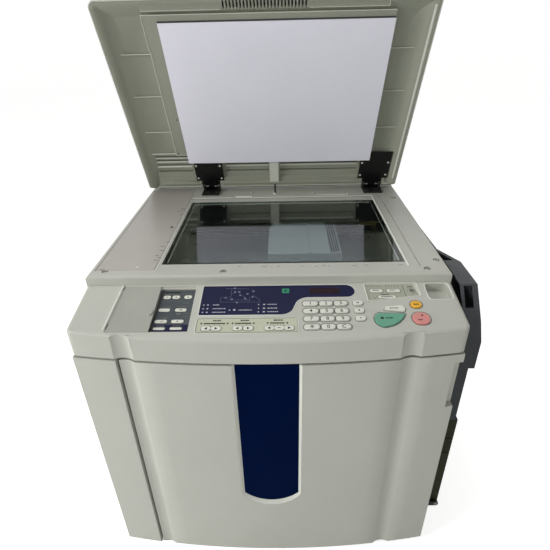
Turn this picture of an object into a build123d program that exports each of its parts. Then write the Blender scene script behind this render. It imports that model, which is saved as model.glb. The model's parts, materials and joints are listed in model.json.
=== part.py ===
from build123d import *
import os
from math import cos, radians, sin, sqrt

# Digital duplicator with its document lid open, both paper trays folded up. Millimetres, +Z up,
# the front faces -Y. Every piece is drawn about the middle of the body, and save() moves it so
# that the origin lies under the middle of the whole machine, on the floor.

# Body
body_width = 635.5
side_depth = 629.5  # from the front corners to the back
front_bulge = 25.5  # how far the bowed front stands out in the middle
front_corner_y = -302.0
foot_height = 10.0
foot_radius = 18.0
foot_inset = (48.0, 42.0, 38.0)  # from the sides, from the front corners, from the back
deck_z = 524.0  # the scanner stands on the lower body here
glass_level = 608.0
skin = 3.0  # moulded covers
sheet = 2.0  # steel plates
joint_gap = 0.3

# Screw holes for a stand, in the base plate
stand_hole_radius = 3.3
stand_spacing_x = 480.0
stand_spacing_y = 400.0
stand_middle_y = 20.0

# Mains inlet and switch, at the back
inlet_x = -250.0
inlet_z = 60.0
inlet_width = 28.0
inlet_height = 21.0
inlet_depth = 26.0
inlet_wall = 2.0
switch_x = -205.0
switch_width = 14.0
switch_height = 22.0
switch_depth = 8.0
switch_tilt = 8.0  # degrees, either way from the cover

# Vents in the rear cover
rear_vent_x = 120.0
rear_vent_span = (90.0, 170.0)
rear_vent_count = 12
rear_vent_pitch = 12.0
rear_vent_width = 5.0

# Control panel
panel_depth = 106.5  # in plan, from the front corners back to the scanner's lip
lip_height = 16.5
panel_slope = 10.7  # degrees
fascia_gap = 4.0
panel_edge_radius = 6.0

# Places on the panel: x from the middle of the body, then the distance in front of the lip
slider_left = -254.0
slider_right = -184.5
slider_thickness = 2.5
bay_right = -123.0
bay_ahead = (5.0, 109.0)
bay_depth = 7.0
bay_ledge = 3.0
tray_pocket = (269.75, 309.0, 5.0, 43.0)
tray_pocket_depth = 15.0
tray_pocket_corner = 7.5
side_panel = [(166.75, 6.0), (250.75, 6.0), (255.75, 34.5), (167.75, 47.0)]
side_panel_recess = 2.0
display_left = -110.25
display_right = 148.75
display_ahead = (6.0, 75.0)
display_low_right = 23.0
display_step = (68.75, 36.0)
band_box = (-110.25, 48.75, 82.0, 112.0)
slider_nub = (-193.5, -185.5, 61.0, 74.0)
start_corners = ((179.0, 75.0), (221.0, 77.5), (184.0, 104.0))
start_bulges = ((206.0, 96.0), (171.6, 89.5))  # on the arcs to the third corner and from it
long_key_corners = ((189.5, 68.0), (192.5, 61.0), (219.0, 58.5), (224.0, 65.5), (221.0, 72.5))
reset_box = (235.0, 252.0, 49.0, 63.5)
stop_box = (231.2, 257.8, 75.0, 99.5)
column_key_x = (141.5, 157.5)
# Short-stroke keys: x and distance of the middle, half the width, half the depth
band_keys = [(x, 103.5, 7.7, 4.6) for x in (-94.5, -78.5, -45.0, -28.0, 4.8, 20.4, 36.0)]
bay_keys = [(-171.5, 26.0, 6.5, 4.0), (-156.0, 26.0, 6.5, 4.0), (-135.5, 26.0, 6.5, 4.0),
            (-170.5, 56.5, 9.5, 3.6), (-143.0, 56.5, 9.5, 3.6), (-171.0, 82.0, 10.0, 3.6),
            (-144.0, 82.0, 10.0, 3.6), (-171.0, 97.5, 9.5, 2.6), (-144.0, 97.5, 9.5, 2.6)]
side_keys = [(185.0, 21.0, 11.0, 4.0), (214.0, 21.0, 11.5, 4.0), (200.3, 36.0, 15.0, 3.4),
             (244.3, 21.5, 5.2, 5.0)]

# Scoops down the bowed front
scoop_x = 230.5
scoop_width = 33.0
scoop_depth = 5.0

# Front door
door_seam_x = 240.4  # the upright seam, left of the middle
door_seam = 3.0
door_rear_y = -282.0
door_floor_gap = 1.0
door_pin_inset = 5.6  # from the door's left edge to its pin
door_pin_radius = 2.0
door_pin_boss = 4.2
door_pin_gap = 0.1
door_pin_length = 13.0
door_heel = 1.2  # cut from the rear edge behind the pin, so that the door can swing
inlay_width = 103.0
inlay_side_height = 320.0
inlay_arc_drop = 22.0
inlay_margin = 5.0
inlay_thickness = 1.2
inlay_pocket = 4.5
grip_width = 14.0
grip_height = 98.0
grip_depth = 12.0
grip_below_door_top = 17.0

# Scanner
glass_width = 440.0
glass_depth = 320.0
glass_thickness = 4.0
glass_ledge = 8.0
glass_offset_x = 26.75  # the glass lies right of the middle
glass_setback = 44.0  # from the lip to the glass
glass_seat = 0.3
rear_ledge = 29.0  # from the glass to the line behind it
scale_plate_margin = 8.5  # from the body's side
scale_plate_gap = 9.0  # from the glass
scale_plate_thickness = 1.5
scale_plate_ahead = 20.0  # past the glass's front edge
scale_plate_behind = 104.0  # past the glass's rear edge
scale_plate_recess = 1.3
lens_cover_width = 161.0
lens_cover_depth = 207.0
lens_cover_height = 22.0
lens_left = -6.0
lens_cover_ahead = 150.0  # behind the glass's front edge
lens_slots = (133.5, 138.8, 144.1, 149.4)
lens_slot_width = 2.8
lens_slot_inset = 5.0  # from the cover's front and rear edges
lens_ridge_x = 88.5
lens_ridge = 1.5  # half its width, and its height
lens_corner = (46.0, 66.0)  # what the rear left corner gives up
rail_radius = 4.0
rail_z = 563.0
rail_left = -215.0
rail_right = 268.0
carriage_floor_z = 552.0
lamp_carriage_depth = 42.0
lamp_carriage_top = 597.0
mirror_carriage_depth = 32.0
mirror_carriage_top = 575.0
carriage_bore_gap = 0.08
sensor_rod_radius = 2.0
sensor_rod_top = 25.0
sensor_rod_length = 33.0

# Lid
lid_side_inset = 0.75  # from the body's side to the lid's
lid_depth = 470.0
lid_height = 37.0
lid_setback = 4.0  # from the lip to the lid's front
lid_wall = 2.5
lid_open_angle = 65.0
lid_gap = 0.5
hinge_from_lid_rear = 17.0
hinge_height = 13.6
hinge_pin_radius = 5.0
hinge_barrel_radius = 7.0
hinge_running_gap = 0.1
hinge_left = (-191.0, -121.0)
hinge_right = (219.0, 294.0)
hinge_plate_level = 6.3
liner_depth = 15.0
liner_flange = 8.0
pad_width = 440.0
pad_depth = 330.0
pad_thickness = 5.6
pad_front = 40.0  # from the lid's front to the pad
frame_margin = 28.0  # the raised frame left of the pad
frame_ahead = 11.0  # the same frame in front of the pad
beam_gap = 8.0  # from the slotted beam to the frame
vent_count = 25
vent_pitch = 6.2
vent_width = 3.2

# Printing works
drum_x = 20.0
drum_z = 340.0
drum_radius = 90.0
drum_wall = 1.5
drum_front = -140.0
drum_rear_gap = 40.0  # from the drum to the rear frame plate
drum_flange = 5.0
drum_tube_radius = 50.0
drum_tube_wall = 4.0
drum_journal_radius = 15.0
pressure_roller_radius = 30.0
roller_nip = 0.4
journal_radius = 6.0
running_gap = 0.08
roller_front = -140.0
roller_rear_gap = 50.0
drum_port_gap = 10.0  # round the drum, in the front frame plate
drum_tooth_count = 48
drum_tooth = 4.0
front_frame_y = -262.0
rear_frame_gap = 117.5  # from the rear frame plate to the back
pickup_x = -255.0
pickup_z = 262.0
pickup_radius = 20.0
pickup_length = 60.0
motor_radius = 32.0
motor_length = 60.0
motor_flange = 36.0  # half its side
motor_from_drum = 40.0
master_box = (-292.0, -120.0, 385.0, 505.0)  # x, then z
master_roll_radius = 38.0

# Paper trays, folded up against the sides
path_y = 10.0  # middle of the paper path
receiving_gap = 7.0
receiving_thickness = 23.5
receiving_width = 549.0
receiving_bottom = 83.0
receiving_floor = 24.0
receiving_step = 329.0  # the tray is thicker below this
receiving_step_out = 5.0
receiving_slots = (278.0, 238.0)  # short slots in its front edge
receiving_slot_height = 4.0
cap_bottom = 463.0
cap_top = 598.0
cap_reach = 36.0  # from the body's side to the cap's outer face
cap_side = 9.0
# The cap seen from its side: distance behind its front corner, distance below its top
cap_profile = ((0.0, 78.0), (17.0, 48.0), (57.0, 0.0), (137.0, 0.0), (262.0, 35.0),
               (527.0, 45.0), (567.0, 90.0))
cap_window = (0.36, 0.95, 5.5, 19.5)  # from and to along the cap's front slope, then across
cap_hatch = (150.0, 380.0, 20.0)  # from and to, behind the front corner, then its width
tray_wall = 3.0
receiving_pin_z = 82.0
tray_pin_radius = 4.0
receiving_ear = 6.0
feed_width = 290.0
feed_reach = 86.5
feed_thickness = 28.0
feed_bottom = 122.0
feed_top = 400.0
feed_pin_z = 130.0
feed_ear = 8.0
fence_thickness = 4.0
fence_seat = 0.3
feed_fence_half_gap = 132.0
receiving_fence_half_gap = 190.0
receiving_fence_height = 16.0
feed_fence_height = 47.0
feed_fence_span = (170.0, 385.0)
receiving_fence_span = (150.0, 400.0)
fence_foot_inset = 40.0
feed_ribs = (215.0, 275.0, 335.0)
mouth_depth = 320.0
feed_mouth = (215.0, 330.0)
exit_mouth = (235.0, 340.0)

# Keys
key_rise = 2.2
key_gap = 0.35
key_flange = 1.2
key_flange_thickness = 1.5
number_key_depth = 9.4
number_key_radius = 4.4
reset_radius = 6.8
stop_radius = 11.5
number_columns = ((71.7, 24.0), (97.2, 21.5), (121.3, 21.5))  # middle and width
number_rows = (51.8, 68.8, 85.8, 103.0)  # in front of the lip
pad_key_rise = 0.8
film = 0.6

half = body_width / 2
rear_y = front_corner_y + side_depth
rear_frame_y = rear_y - rear_frame_gap
drum_rear = rear_frame_y - drum_rear_gap
roller_rear = rear_frame_y - roller_rear_gap
lip_y = front_corner_y + panel_depth
lip_z = glass_level - lip_height
slope = radians(panel_slope)
fascia_z = deck_z - 1.0
door_top = fascia_z - fascia_gap
floor_z = foot_height + sheet
scoop_radius = (scoop_width ** 2 / 4 + scoop_depth ** 2) / (2 * scoop_depth)
bow_radius = (half ** 2 + front_bulge ** 2) / (2 * front_bulge)
glass_left = glass_offset_x - glass_width / 2
glass_right = glass_offset_x + glass_width / 2
glass_front = lip_y + glass_setback
glass_rear = glass_front + glass_depth
pan_floor = deck_z + sheet
lid_front = lip_y + lid_setback
lid_rear = lid_front + lid_depth
hinge_y = lid_rear - hinge_from_lid_rear
hinge_z = glass_level + hinge_height
pad_left = glass_offset_x - 7.0 - pad_width / 2
pad_right = pad_left + pad_width
pad_y = lid_front + pad_front
lid_width = body_width - 2 * lid_side_inset
scale_plate_left = scale_plate_margin - half
scale_plate_right = glass_left - scale_plate_gap
roller_z = drum_z - drum_radius - pressure_roller_radius - roller_nip
door_left = door_seam / 2 - door_seam_x
door_pin_x = door_left + door_pin_inset
receiving_face = half + receiving_gap
receiving_back = receiving_face + receiving_thickness
receiving_pin_x = half + cap_reach - receiving_ear
feed_back = -half - feed_reach
feed_face = feed_back + feed_thickness
feed_pin_x = feed_back + feed_ear + 1.5
origin_x = (feed_reach - cap_reach) / 2
sensor_x = 9.0
sensor_y = hinge_y - 35.5
rear_ledge_y = glass_rear + rear_ledge
scan_start_y = glass_rear - 6.0
screw_places = ((-289.0, lip_y + 20), (-78.0, lip_y + 15), (304.0, lip_y + 48), (279.0, lip_y + 17),
                (-240.0, 197.0), (301.0, 183.0))
panel = Plane(origin=(0, lip_y, lip_z), x_dir=(1, 0, 0), z_dir=(0, -sin(slope), cos(slope)))


def save(name, shape):
    """Write one node: a single solid, or a list of solids that share the node."""
    pieces = shape if isinstance(shape, list) else [shape]
    moved = [Pos(origin_x, 0, 0) * piece for piece in pieces]
    export_step(Compound(moved) if len(moved) > 1 else moved[0], f"parts/{name}.step")


def block(x0, x1, y0, y1, z0, z1):
    return Pos((x0 + x1) / 2, (y0 + y1) / 2, (z0 + z1) / 2) * Box(x1 - x0, y1 - y0, z1 - z0)


def rod_x(y, z, radius, x0, x1):
    return Pos((x0 + x1) / 2, y, z) * Rot(0, 90, 0) * Cylinder(radius, x1 - x0)


def rod_y(x, z, radius, y0, y1):
    return Pos(x, (y0 + y1) / 2, z) * Rot(90, 0, 0) * Cylinder(radius, y1 - y0)


def rod_z(x, y, radius, z0, z1):
    return Pos(x, y, (z0 + z1) / 2) * Cylinder(radius, z1 - z0)


def front_y(x):
    """The bowed front in plan: an arc through both front corners."""
    return front_corner_y - front_bulge + bow_radius - sqrt(bow_radius ** 2 - x ** 2)


def bowed(x0, x1, back_y, z0, z1, inset=0.0):
    """A prism between the bowed front, moved in by inset, and a flat back."""
    middle = (x0 + x1) / 2
    points = [(x, front_y(x) + inset) for x in (x0, middle, x1)]
    arc = ThreePointArc(*points)
    sides = Polyline(points[2], (x1, back_y), (x0, back_y), points[0])
    return Pos(0, 0, z0) * extrude(make_face([*arc.edges(), *sides.edges()]), z1 - z0)


def scoops(z0, z1, wall=0.0):
    """The two upright scoops, as cutters; wall makes them wider for the inner side."""
    out = scoop_radius - scoop_depth
    return [rod_z(side * scoop_x, front_y(scoop_x) - out, scoop_radius + wall, z0, z1)
            for side in (-1, 1)]


def on_panel(x, ahead, lift=0.0):
    """A place on the sloping panel: ahead is the distance in front of the lip, seen from above."""
    return panel.location * Pos(x, -ahead / cos(slope), lift)


def panel_block(x0, x1, ahead0, ahead1, low, high, radius=0.0):
    length = (ahead1 - ahead0) / cos(slope)
    if radius > 0:
        face = RectangleRounded(x1 - x0, length, radius)
    else:
        face = Rectangle(x1 - x0, length)
    return on_panel((x0 + x1) / 2, (ahead0 + ahead1) / 2, low) * extrude(face, high - low)


def panel_prism(points, low, high):
    """A prism on the panel from (x, ahead) corners."""
    corners = [(x, -ahead / cos(slope)) for x, ahead in points]
    face = make_face(Polyline(*corners, close=True).edges())
    return panel.location * Pos(0, 0, low) * extrude(face, high - low)


# Lower body

def base_plate():
    rim = 28.0
    side = half - skin - joint_gap
    front, back = door_rear_y + joint_gap, rear_y - skin - joint_gap
    pan = block(-side, side, front, back, foot_height, foot_height + rim)
    pan -= block(-side + sheet, side - sheet, front + sheet, back - sheet, floor_z, deck_z)
    tab = block(door_pin_x - 8, door_pin_x + 8, door_pin_y() - 4, front + sheet,
                foot_height, floor_z)
    pan += tab
    pan -= rod_z(door_pin_x, door_pin_y(), door_pin_radius, 0, floor_z + 1)
    for x, y in stand_holes():
        pan -= rod_z(x, y, stand_hole_radius, 0, floor_z + 1)
    return pan


def stand_holes():
    return [(sx * stand_spacing_x / 2, stand_middle_y + sy * stand_spacing_y / 2)
            for sx in (-1, 1) for sy in (-1, 1)]


def base_feet():
    aside, ahead, behind = foot_inset
    return [rod_z(sx * (half - aside), y, foot_radius, 0, foot_height)
            for sx in (-1, 1) for y in (door_rear_y + ahead, rear_y - behind)]


def frame_plate(y, front):
    """A cross plate that carries the drum and rollers; the front one has the wide drum port."""
    side = half - skin - 3.0
    plate = block(-side, side, y, y + sheet, floor_z, deck_z)
    port = drum_radius + drum_port_gap if front else drum_journal_radius + running_gap
    plate -= rod_y(drum_x, drum_z, port, y - 1, y + sheet + 1)
    plate -= rod_y(drum_x, roller_z, journal_radius + running_gap, y - 1, y + sheet + 1)
    plate -= rod_y(pickup_x, pickup_z, journal_radius + running_gap, y - 1, y + sheet + 1)
    return plate


def side_cover(side):
    """A flat side skin with the slot that paper goes through."""
    outer, inner = side * half, side * (half - skin)
    cover = block(min(outer, inner), max(outer, inner), door_rear_y + joint_gap, rear_y,
                  floor_z, fascia_z)
    low, high = feed_mouth if side < 0 else exit_mouth
    cover -= block(side * half - skin * 2, side * half + skin * 2, path_y - mouth_depth / 2,
                   path_y + mouth_depth / 2, low, high)
    return cover


def rear_cover():
    side = half - skin - joint_gap
    cover = block(-side, side, rear_y - skin, rear_y, floor_z, fascia_z)
    low, high = rear_vent_span
    for i in range(rear_vent_count):
        x = rear_vent_x + i * rear_vent_pitch
        cover -= block(x, x + rear_vent_width, rear_y - skin - 1, rear_y + 1, low, high)
    for x, w, h in ((inlet_x, inlet_width, inlet_height), (switch_x, switch_width, switch_height)):
        cover -= block(x - w / 2, x + w / 2, rear_y - skin - 1, rear_y + 1,
                       inlet_z - h / 2, inlet_z + h / 2)
    return cover


def power_inlet():
    """A recessed inlet with three blades."""
    w, h = (inlet_width - joint_gap) / 2, (inlet_height - joint_gap) / 2
    back = rear_y - inlet_depth
    body = block(inlet_x - w, inlet_x + w, back, rear_y, inlet_z - h, inlet_z + h)
    w, h = w - inlet_wall, h - inlet_wall
    body -= block(inlet_x - w, inlet_x + w, back + inlet_wall * 2, rear_y + 1,
                  inlet_z - h, inlet_z + h)
    for x, z in ((-7, -2), (0, 3), (7, -2)):
        body += block(inlet_x + x - 1, inlet_x + x + 1, back + inlet_wall, rear_y - 8,
                      inlet_z + z - 2.5, inlet_z + z + 2.5)
    return body


def power_switch():
    """A rocker on a cross axis just inside the rear cover, tipped to its off side."""
    w, h = switch_width / 2 - joint_gap, switch_height / 2 - 2.0
    axis_y = rear_y - switch_depth
    rocker = block(switch_x - w, switch_x + w, axis_y, rear_y - 1.5, inlet_z - h, inlet_z + h)
    rocker += rod_x(axis_y, inlet_z, switch_depth / 2, switch_x - w, switch_x + w)
    axis = Pos(0, axis_y, inlet_z)
    return axis * Rot(-switch_tilt, 0, 0) * axis.inverse() * rocker


def door_pin_y():
    return front_y(door_left) + scoop_depth + 3.6


def front_skin(x0, x1, z0, z1):
    """A moulded front piece: bowed outside, hollow behind, open at the back."""
    piece = bowed(x0, x1, door_rear_y, z0, z1)
    for cut in scoops(z0 - 1, z1 + 1):
        piece -= cut
    hollow = bowed(x0 + skin, x1 - skin, door_rear_y + 1, z0 + skin, z1 - skin, skin)
    for cut in scoops(z0 - 1, z1 + 1, skin):
        hollow -= cut
    return piece - hollow


def front_strip():
    right = -door_seam_x - door_seam / 2
    return front_skin(-half, right, floor_z, door_top)


def inlay_outline(margin):
    """Straight sides and a round foot, drawn in the XZ plane and pushed through the front."""
    w = inlay_width / 2 + margin
    top = door_top + 1
    corner = door_top - inlay_side_height
    foot = corner - inlay_arc_drop - margin * 2
    arc = ThreePointArc((-w, corner), (0, foot), (w, corner))
    sides = Polyline((w, corner), (w, top), (-w, top), (-w, corner))
    face = Plane.XZ * make_face([*arc.edges(), *sides.edges()])
    return Pos(0, front_corner_y + 20, 0) * extrude(face, front_bulge + 60)


def grip_bounds():
    top = door_top - grip_below_door_top
    return half - grip_width, top - grip_height, top


def front_door():
    bottom = floor_z + door_floor_gap
    door = front_skin(door_left, half, bottom, door_top)
    left, low, high = grip_bounds()
    door += bowed(left - skin, half, door_rear_y, low - skin, high + skin)
    grip_y = front_corner_y + grip_depth
    door -= block(left, half + 1, front_corner_y - 20, grip_y, low, high)
    band = bowed(-inlay_width, inlay_width, door_rear_y, bottom, door_top + 1)
    backing = bowed(-inlay_width, inlay_width, door_rear_y, bottom, door_top, skin / 2)
    backing -= bowed(-inlay_width, inlay_width, door_rear_y, bottom - 1, door_top + 1,
                     inlay_pocket + skin)
    door += inlay_outline(inlay_margin + skin) & backing
    band -= bowed(-inlay_width, inlay_width, door_rear_y, bottom, door_top + 1, inlay_pocket)
    door -= inlay_outline(inlay_margin) & band
    door -= block(door_left - 1, door_pin_x, door_rear_y - door_heel, door_rear_y + 1,
                  bottom - 1, door_top + 1)
    y = door_pin_y()
    boss = door_pin_length + 2
    for low_z, high_z in ((bottom, bottom + boss), (door_top - boss, door_top)):
        door += rod_z(door_pin_x, y, door_pin_boss, low_z, high_z)
        door -= rod_z(door_pin_x, y, door_pin_radius + door_pin_gap, low_z - 1, high_z + 1)
    return door


def door_inlay():
    bottom = floor_z
    front = inlay_pocket - inlay_thickness
    band = bowed(-inlay_width, inlay_width, door_rear_y, bottom, door_top, front)
    band -= bowed(-inlay_width, inlay_width, door_rear_y, bottom - 1, door_top + 1, inlay_pocket)
    return inlay_outline(0.0) & band


# Control panel

def display_shape(low, high, grow=0.0):
    """The display window: a tall left part that steps up in an S to a round right end."""
    left, right = display_left - grow, display_right + grow
    top, foot = display_ahead[0] - grow, display_ahead[1] + grow
    step_x, step_y = display_step[0], display_step[1] + grow
    radius = (step_y - top) / 2 / cos(slope)
    flat = -1 / cos(slope)
    start = (display_low_right, foot * flat)
    middle = ((display_low_right + step_x) / 2, (foot + step_y) / 2 * flat)
    end = (step_x, step_y * flat)
    lower = TangentArc(start, middle, tangent=(1, 0))
    upper = TangentArc(end, middle, tangent=(-1, 0))
    rounded = ThreePointArc((right - radius, step_y * flat), (right, (top + step_y) / 2 * flat),
                            (right - radius, top * flat))
    edges = [*lower.edges(), *upper.edges(), Line(end, (right - radius, step_y * flat)).edge(),
             *rounded.edges(),
             *Polyline((right - radius, top * flat), (left, top * flat), (left, foot * flat),
                       start).edges()]
    return panel.location * Pos(0, 0, low) * extrude(make_face(edges), high - low)


def drawn(points):
    """(x, ahead) pairs as points in the panel's own plane."""
    return [(x, -ahead / cos(slope)) for x, ahead in points]


def start_shape(low, high, grow=0.0):
    """The start key: a leaf, round at the left and drawn out to the right."""
    left, right, foot = drawn(start_corners)
    lower, round_end = drawn(start_bulges)
    edges = [Line(left, right).edge(), *ThreePointArc(right, lower, foot).edges(),
             *ThreePointArc(foot, round_end, left).edges()]
    face = make_face(edges)
    if grow:
        face = offset(face, grow)
    return panel.location * Pos(0, 0, low) * extrude(face, high - low)


def number_places():
    return [(column, ahead) for ahead in number_rows for column in number_columns]


def key_shape(box, low, high, radius, grow=0.0):
    x0, x1, a0, a1 = box
    return panel_block(x0 - grow, x1 + grow, a0 - grow, a1 + grow, low, high, radius + grow)


def number_box(place):
    (x, width), ahead = place
    return (x - width / 2, x + width / 2, ahead - number_key_depth / 2,
            ahead + number_key_depth / 2)


def key_body(shape):
    """A cap through the panel with a flange below it that keeps it in."""
    cap = shape(-skin - joint_gap, key_rise, 0.0)
    flange = shape(-skin - joint_gap - key_flange_thickness, -skin - joint_gap, key_flange)
    return cap + flange


def panel_housing():
    """The sloping control panel with its fascia, hollow and open below."""
    body = bowed(-half, half, lip_y, fascia_z, glass_level)
    above = panel.location * Pos(0, 0, 50) * Box(body_width * 2, body_width * 2, 100)
    body -= above
    corners = [e for e in body.edges().filter_by(Axis.Z)
               if e.center().Y < front_corner_y + 1]
    body = fillet(corners, panel_edge_radius * 2)
    rims = [e for e in body.edges()
            if e.center().Z > (fascia_z + lip_z) / 2 and e.center().Y < lip_y - 1]
    rims = [e for e in rims if abs(e.tangent_at(0.5).Z) < 0.5]
    body = fillet(rims, panel_edge_radius)
    for cut in scoops(fascia_z - 1, door_top + 100):
        body -= cut
    hollow = bowed(-half + skin, half - skin, lip_y - skin, fascia_z - 1, glass_level, skin)
    hollow -= panel.location * Pos(0, 0, 50 - skin) * Box(body_width * 2, body_width * 2, 100)
    for cut in scoops(fascia_z - 2, glass_level, skin):
        hollow -= cut
    body -= hollow
    seat = fascia_z + door_pin_length + 2
    body += rod_z(door_pin_x, door_pin_y(), door_pin_boss, fascia_z, seat + skin)
    body -= rod_z(door_pin_x, door_pin_y(), door_pin_radius, fascia_z - 1, seat)
    a0, a1 = bay_ahead
    body += panel_block(slider_left - skin, bay_right + skin, a0 - skin, a1 + skin,
                        -bay_depth - skin, -skin / 2)
    body -= panel_block(slider_left, bay_right, a0, a1, -bay_ledge, 5)
    body -= panel_block(slider_left, bay_right, a0 + skin, a1 - skin, -bay_depth, 5)
    x0, x1, p0, p1 = tray_pocket
    body += panel_block(x0 - skin, x1 + skin, p0 - skin / 2, p1 + skin,
                        -tray_pocket_depth - skin, -skin / 2)
    body -= panel_block(x0, x1, p0, p1, -tray_pocket_depth, 5, tray_pocket_corner)
    body += panel_prism([(x - 1, a) for x, a in side_panel[:1]] + side_panel[1:],
                        -side_panel_recess - skin, -skin / 2)
    body -= panel_prism(side_panel, -side_panel_recess, 5)
    body -= display_shape(-film, 5)
    body -= key_shape(band_box, -film, 5, 2.0)
    for place in number_places():
        body -= key_shape(number_box(place), -skin * 2, 5, number_key_radius, key_gap)
    body -= start_shape(-skin * 2, 5, key_gap)
    body -= key_shape(reset_box, -skin * 2, 5, reset_radius, key_gap)
    body -= key_shape(stop_box, -skin * 2, 5, stop_radius, key_gap)
    return body


def panel_films():
    """The printed facings: display window, band, folded-away panel and side panel."""
    display = display_shape(-film, 0)
    band = key_shape(band_box, -film, 0, 2.0)
    a0, a1 = bay_ahead
    bay = panel_block(slider_right, bay_right, a0 + skin, a1 - skin,
                      -bay_depth, -bay_depth + film)
    side = panel_prism(side_panel, -side_panel_recess, -side_panel_recess + film)
    return [display, band, bay, side]


def short_key(place, low, high):
    x, ahead, w, d = place
    return panel_block(x - w, x + w, ahead - d, ahead + d, low, high, min(w, d) * 0.92)


def membrane_keys():
    """Short-stroke keys that lie on the facings, and the loose row beside the number keys."""
    keys = [short_key(place, 0, pad_key_rise) for place in band_keys]
    low = -bay_depth + film
    keys += [short_key(place, low, low + pad_key_rise) for place in bay_keys]
    low = -side_panel_recess + film
    keys += [short_key(place, low, low + pad_key_rise) for place in side_keys]
    x0, x1 = column_key_x
    w = (x1 - x0) / 2
    keys += [short_key((x0 + w, ahead, w, number_key_depth / 2), 0, key_rise)
             for ahead in number_rows[:3]]
    keys.append(panel_prism(long_key_corners, 0, key_rise))
    return keys


def cover_slider():
    a0, a1 = bay_ahead
    plate = panel_block(slider_left + key_gap, slider_right, a0 + key_gap, a1 - key_gap,
                        -slider_thickness - joint_gap, -joint_gap)
    nub = panel_block(*slider_nub, -joint_gap, 3.0, 3.9)
    return plate + nub


# Scanner

def scanner_top():
    """The glass frame: one deep cover with the lip along its front, open below."""
    top = block(-half, half, lip_y, rear_y, fascia_z, glass_level)
    edges = [e for e in top.edges() if e.center().Z > glass_level - 1]
    top = fillet(edges, panel_edge_radius * 0.8)
    top -= block(-half + skin, half - skin, lip_y + skin, rear_y - skin,
                 fascia_z - 1, glass_level - skin)
    ledge = glass_ledge + 4.0
    under = glass_level - glass_thickness - skin
    top += block(glass_left - ledge, glass_right + ledge, glass_front - ledge,
                 glass_rear + ledge, under, glass_level - skin)
    top -= block(glass_left + glass_ledge, glass_right - glass_ledge, glass_front + glass_ledge,
                 glass_rear - glass_ledge, deck_z, glass_level + 1)
    top -= block(glass_left - glass_seat, glass_right + glass_seat, glass_front - glass_seat,
                 glass_rear + glass_seat, glass_level - glass_thickness, glass_level + 1)
    x0, x1, y0, y1 = scale_plate_box(joint_gap)
    top -= block(x0, x1, y0, y1, glass_level - scale_plate_recess, glass_level + 1)
    top -= block(glass_right + 21, glass_right + 23, glass_front - 18, rear_ledge_y + 10,
                 glass_level - 1, glass_level + 1)
    top -= block(glass_left, glass_right + 12, rear_ledge_y, rear_ledge_y + 2,
                 glass_level - 1, glass_level + 1)
    for x, y in screw_places:
        top -= rod_z(x, y, 5.0, glass_level - 2, glass_level + 1)
    top += rod_z(sensor_x, sensor_y, sensor_rod_radius + 2.5,
                 glass_level - skin * 2, glass_level + 3.5)
    top -= rod_z(sensor_x, sensor_y, sensor_rod_radius + running_gap, deck_z, glass_level + 10)
    return top


def scanner_pan():
    side = half - skin - joint_gap
    front, back = lip_y + skin + joint_gap, rear_y - skin - joint_gap
    pan = block(-side, side, front, back, deck_z, deck_z + 45)
    pan -= block(-side + sheet, side - sheet, front + sheet, back - sheet, pan_floor, glass_level)
    return pan


def exposure_glass():
    return block(glass_left, glass_right, glass_front, glass_rear,
                 glass_level - glass_thickness, glass_level)


def scale_plate_box(grow=0.0):
    return (scale_plate_left - grow, scale_plate_right + grow,
            glass_front - scale_plate_ahead - grow, glass_rear + scale_plate_behind + grow)


def scale_plate():
    """The plain plate left of the glass, with a finger notch in its front edge."""
    x0, x1, y0, y1 = scale_plate_box()
    low = glass_level - scale_plate_recess
    plate = block(x0, x1, y0, y1, low, low + scale_plate_thickness)
    plate -= block(x0 + 9, x0 + 19, y0 - 1, y0 + 4, low - 1, glass_level + 5)
    return plate


def lens_outline(inset, low, high):
    """The cover's plan, with its rear left corner cut off, between two levels."""
    x0, x1 = lens_left + inset, lens_left + lens_cover_width - inset
    y0 = glass_front + lens_cover_ahead + inset
    y1 = glass_front + lens_cover_ahead + lens_cover_depth - inset
    corner_x, corner_y = lens_corner
    plan = Polyline((x0, y0), (x1, y0), (x1, y1), (x0 + corner_x, y1), (x0, y1 - corner_y),
                    close=True)
    return Pos(0, 0, low) * extrude(make_face(plan.edges()), high - low)


def lens_cover():
    """The light-tight box over the lens, with four vent slots and a ridge on its top."""
    y0 = glass_front + lens_cover_ahead
    y1 = y0 + lens_cover_depth
    top = pan_floor + lens_cover_height
    box = lens_outline(0.0, pan_floor, top)
    box -= lens_outline(sheet, pan_floor - 1, top - sheet)
    for x in lens_slots:
        box -= block(x - lens_slot_width / 2, x + lens_slot_width / 2, y0 + lens_slot_inset,
                     y1 - lens_slot_inset, top - sheet - 1, top + 1)
    box += block(lens_ridge_x - lens_ridge, lens_ridge_x + lens_ridge, y0, y1,
                 top - sheet, top + lens_ridge)
    return box


def scan_rails():
    """Two round rails between the front and rear walls of the pan, in end blocks."""
    front = lip_y + skin + joint_gap + sheet
    back = rear_y - skin - joint_gap - sheet
    rails = []
    for x in (rail_left, rail_right):
        rail = rod_y(x, rail_z, rail_radius, front, back)
        for y0, y1 in ((front, front + 10), (back - 10, back)):
            rail += block(x - 7, x + 7, y0, y1, pan_floor, rail_z + 7)
        rails.append(rail)
    return rails


def carriage(y0, depth, high):
    """A folded steel trough that slides on both rails."""
    body = block(rail_left - 12, rail_right + 12, y0, y0 + depth, carriage_floor_z, high)
    body -= block(rail_left + 14, rail_right - 14, y0 + sheet, y0 + depth - sheet,
                  carriage_floor_z + sheet, high + 1)
    for x in (rail_left, rail_right):
        body -= rod_y(x, rail_z, rail_radius + carriage_bore_gap, y0 - 1, y0 + depth + 1)
    return body


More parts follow.
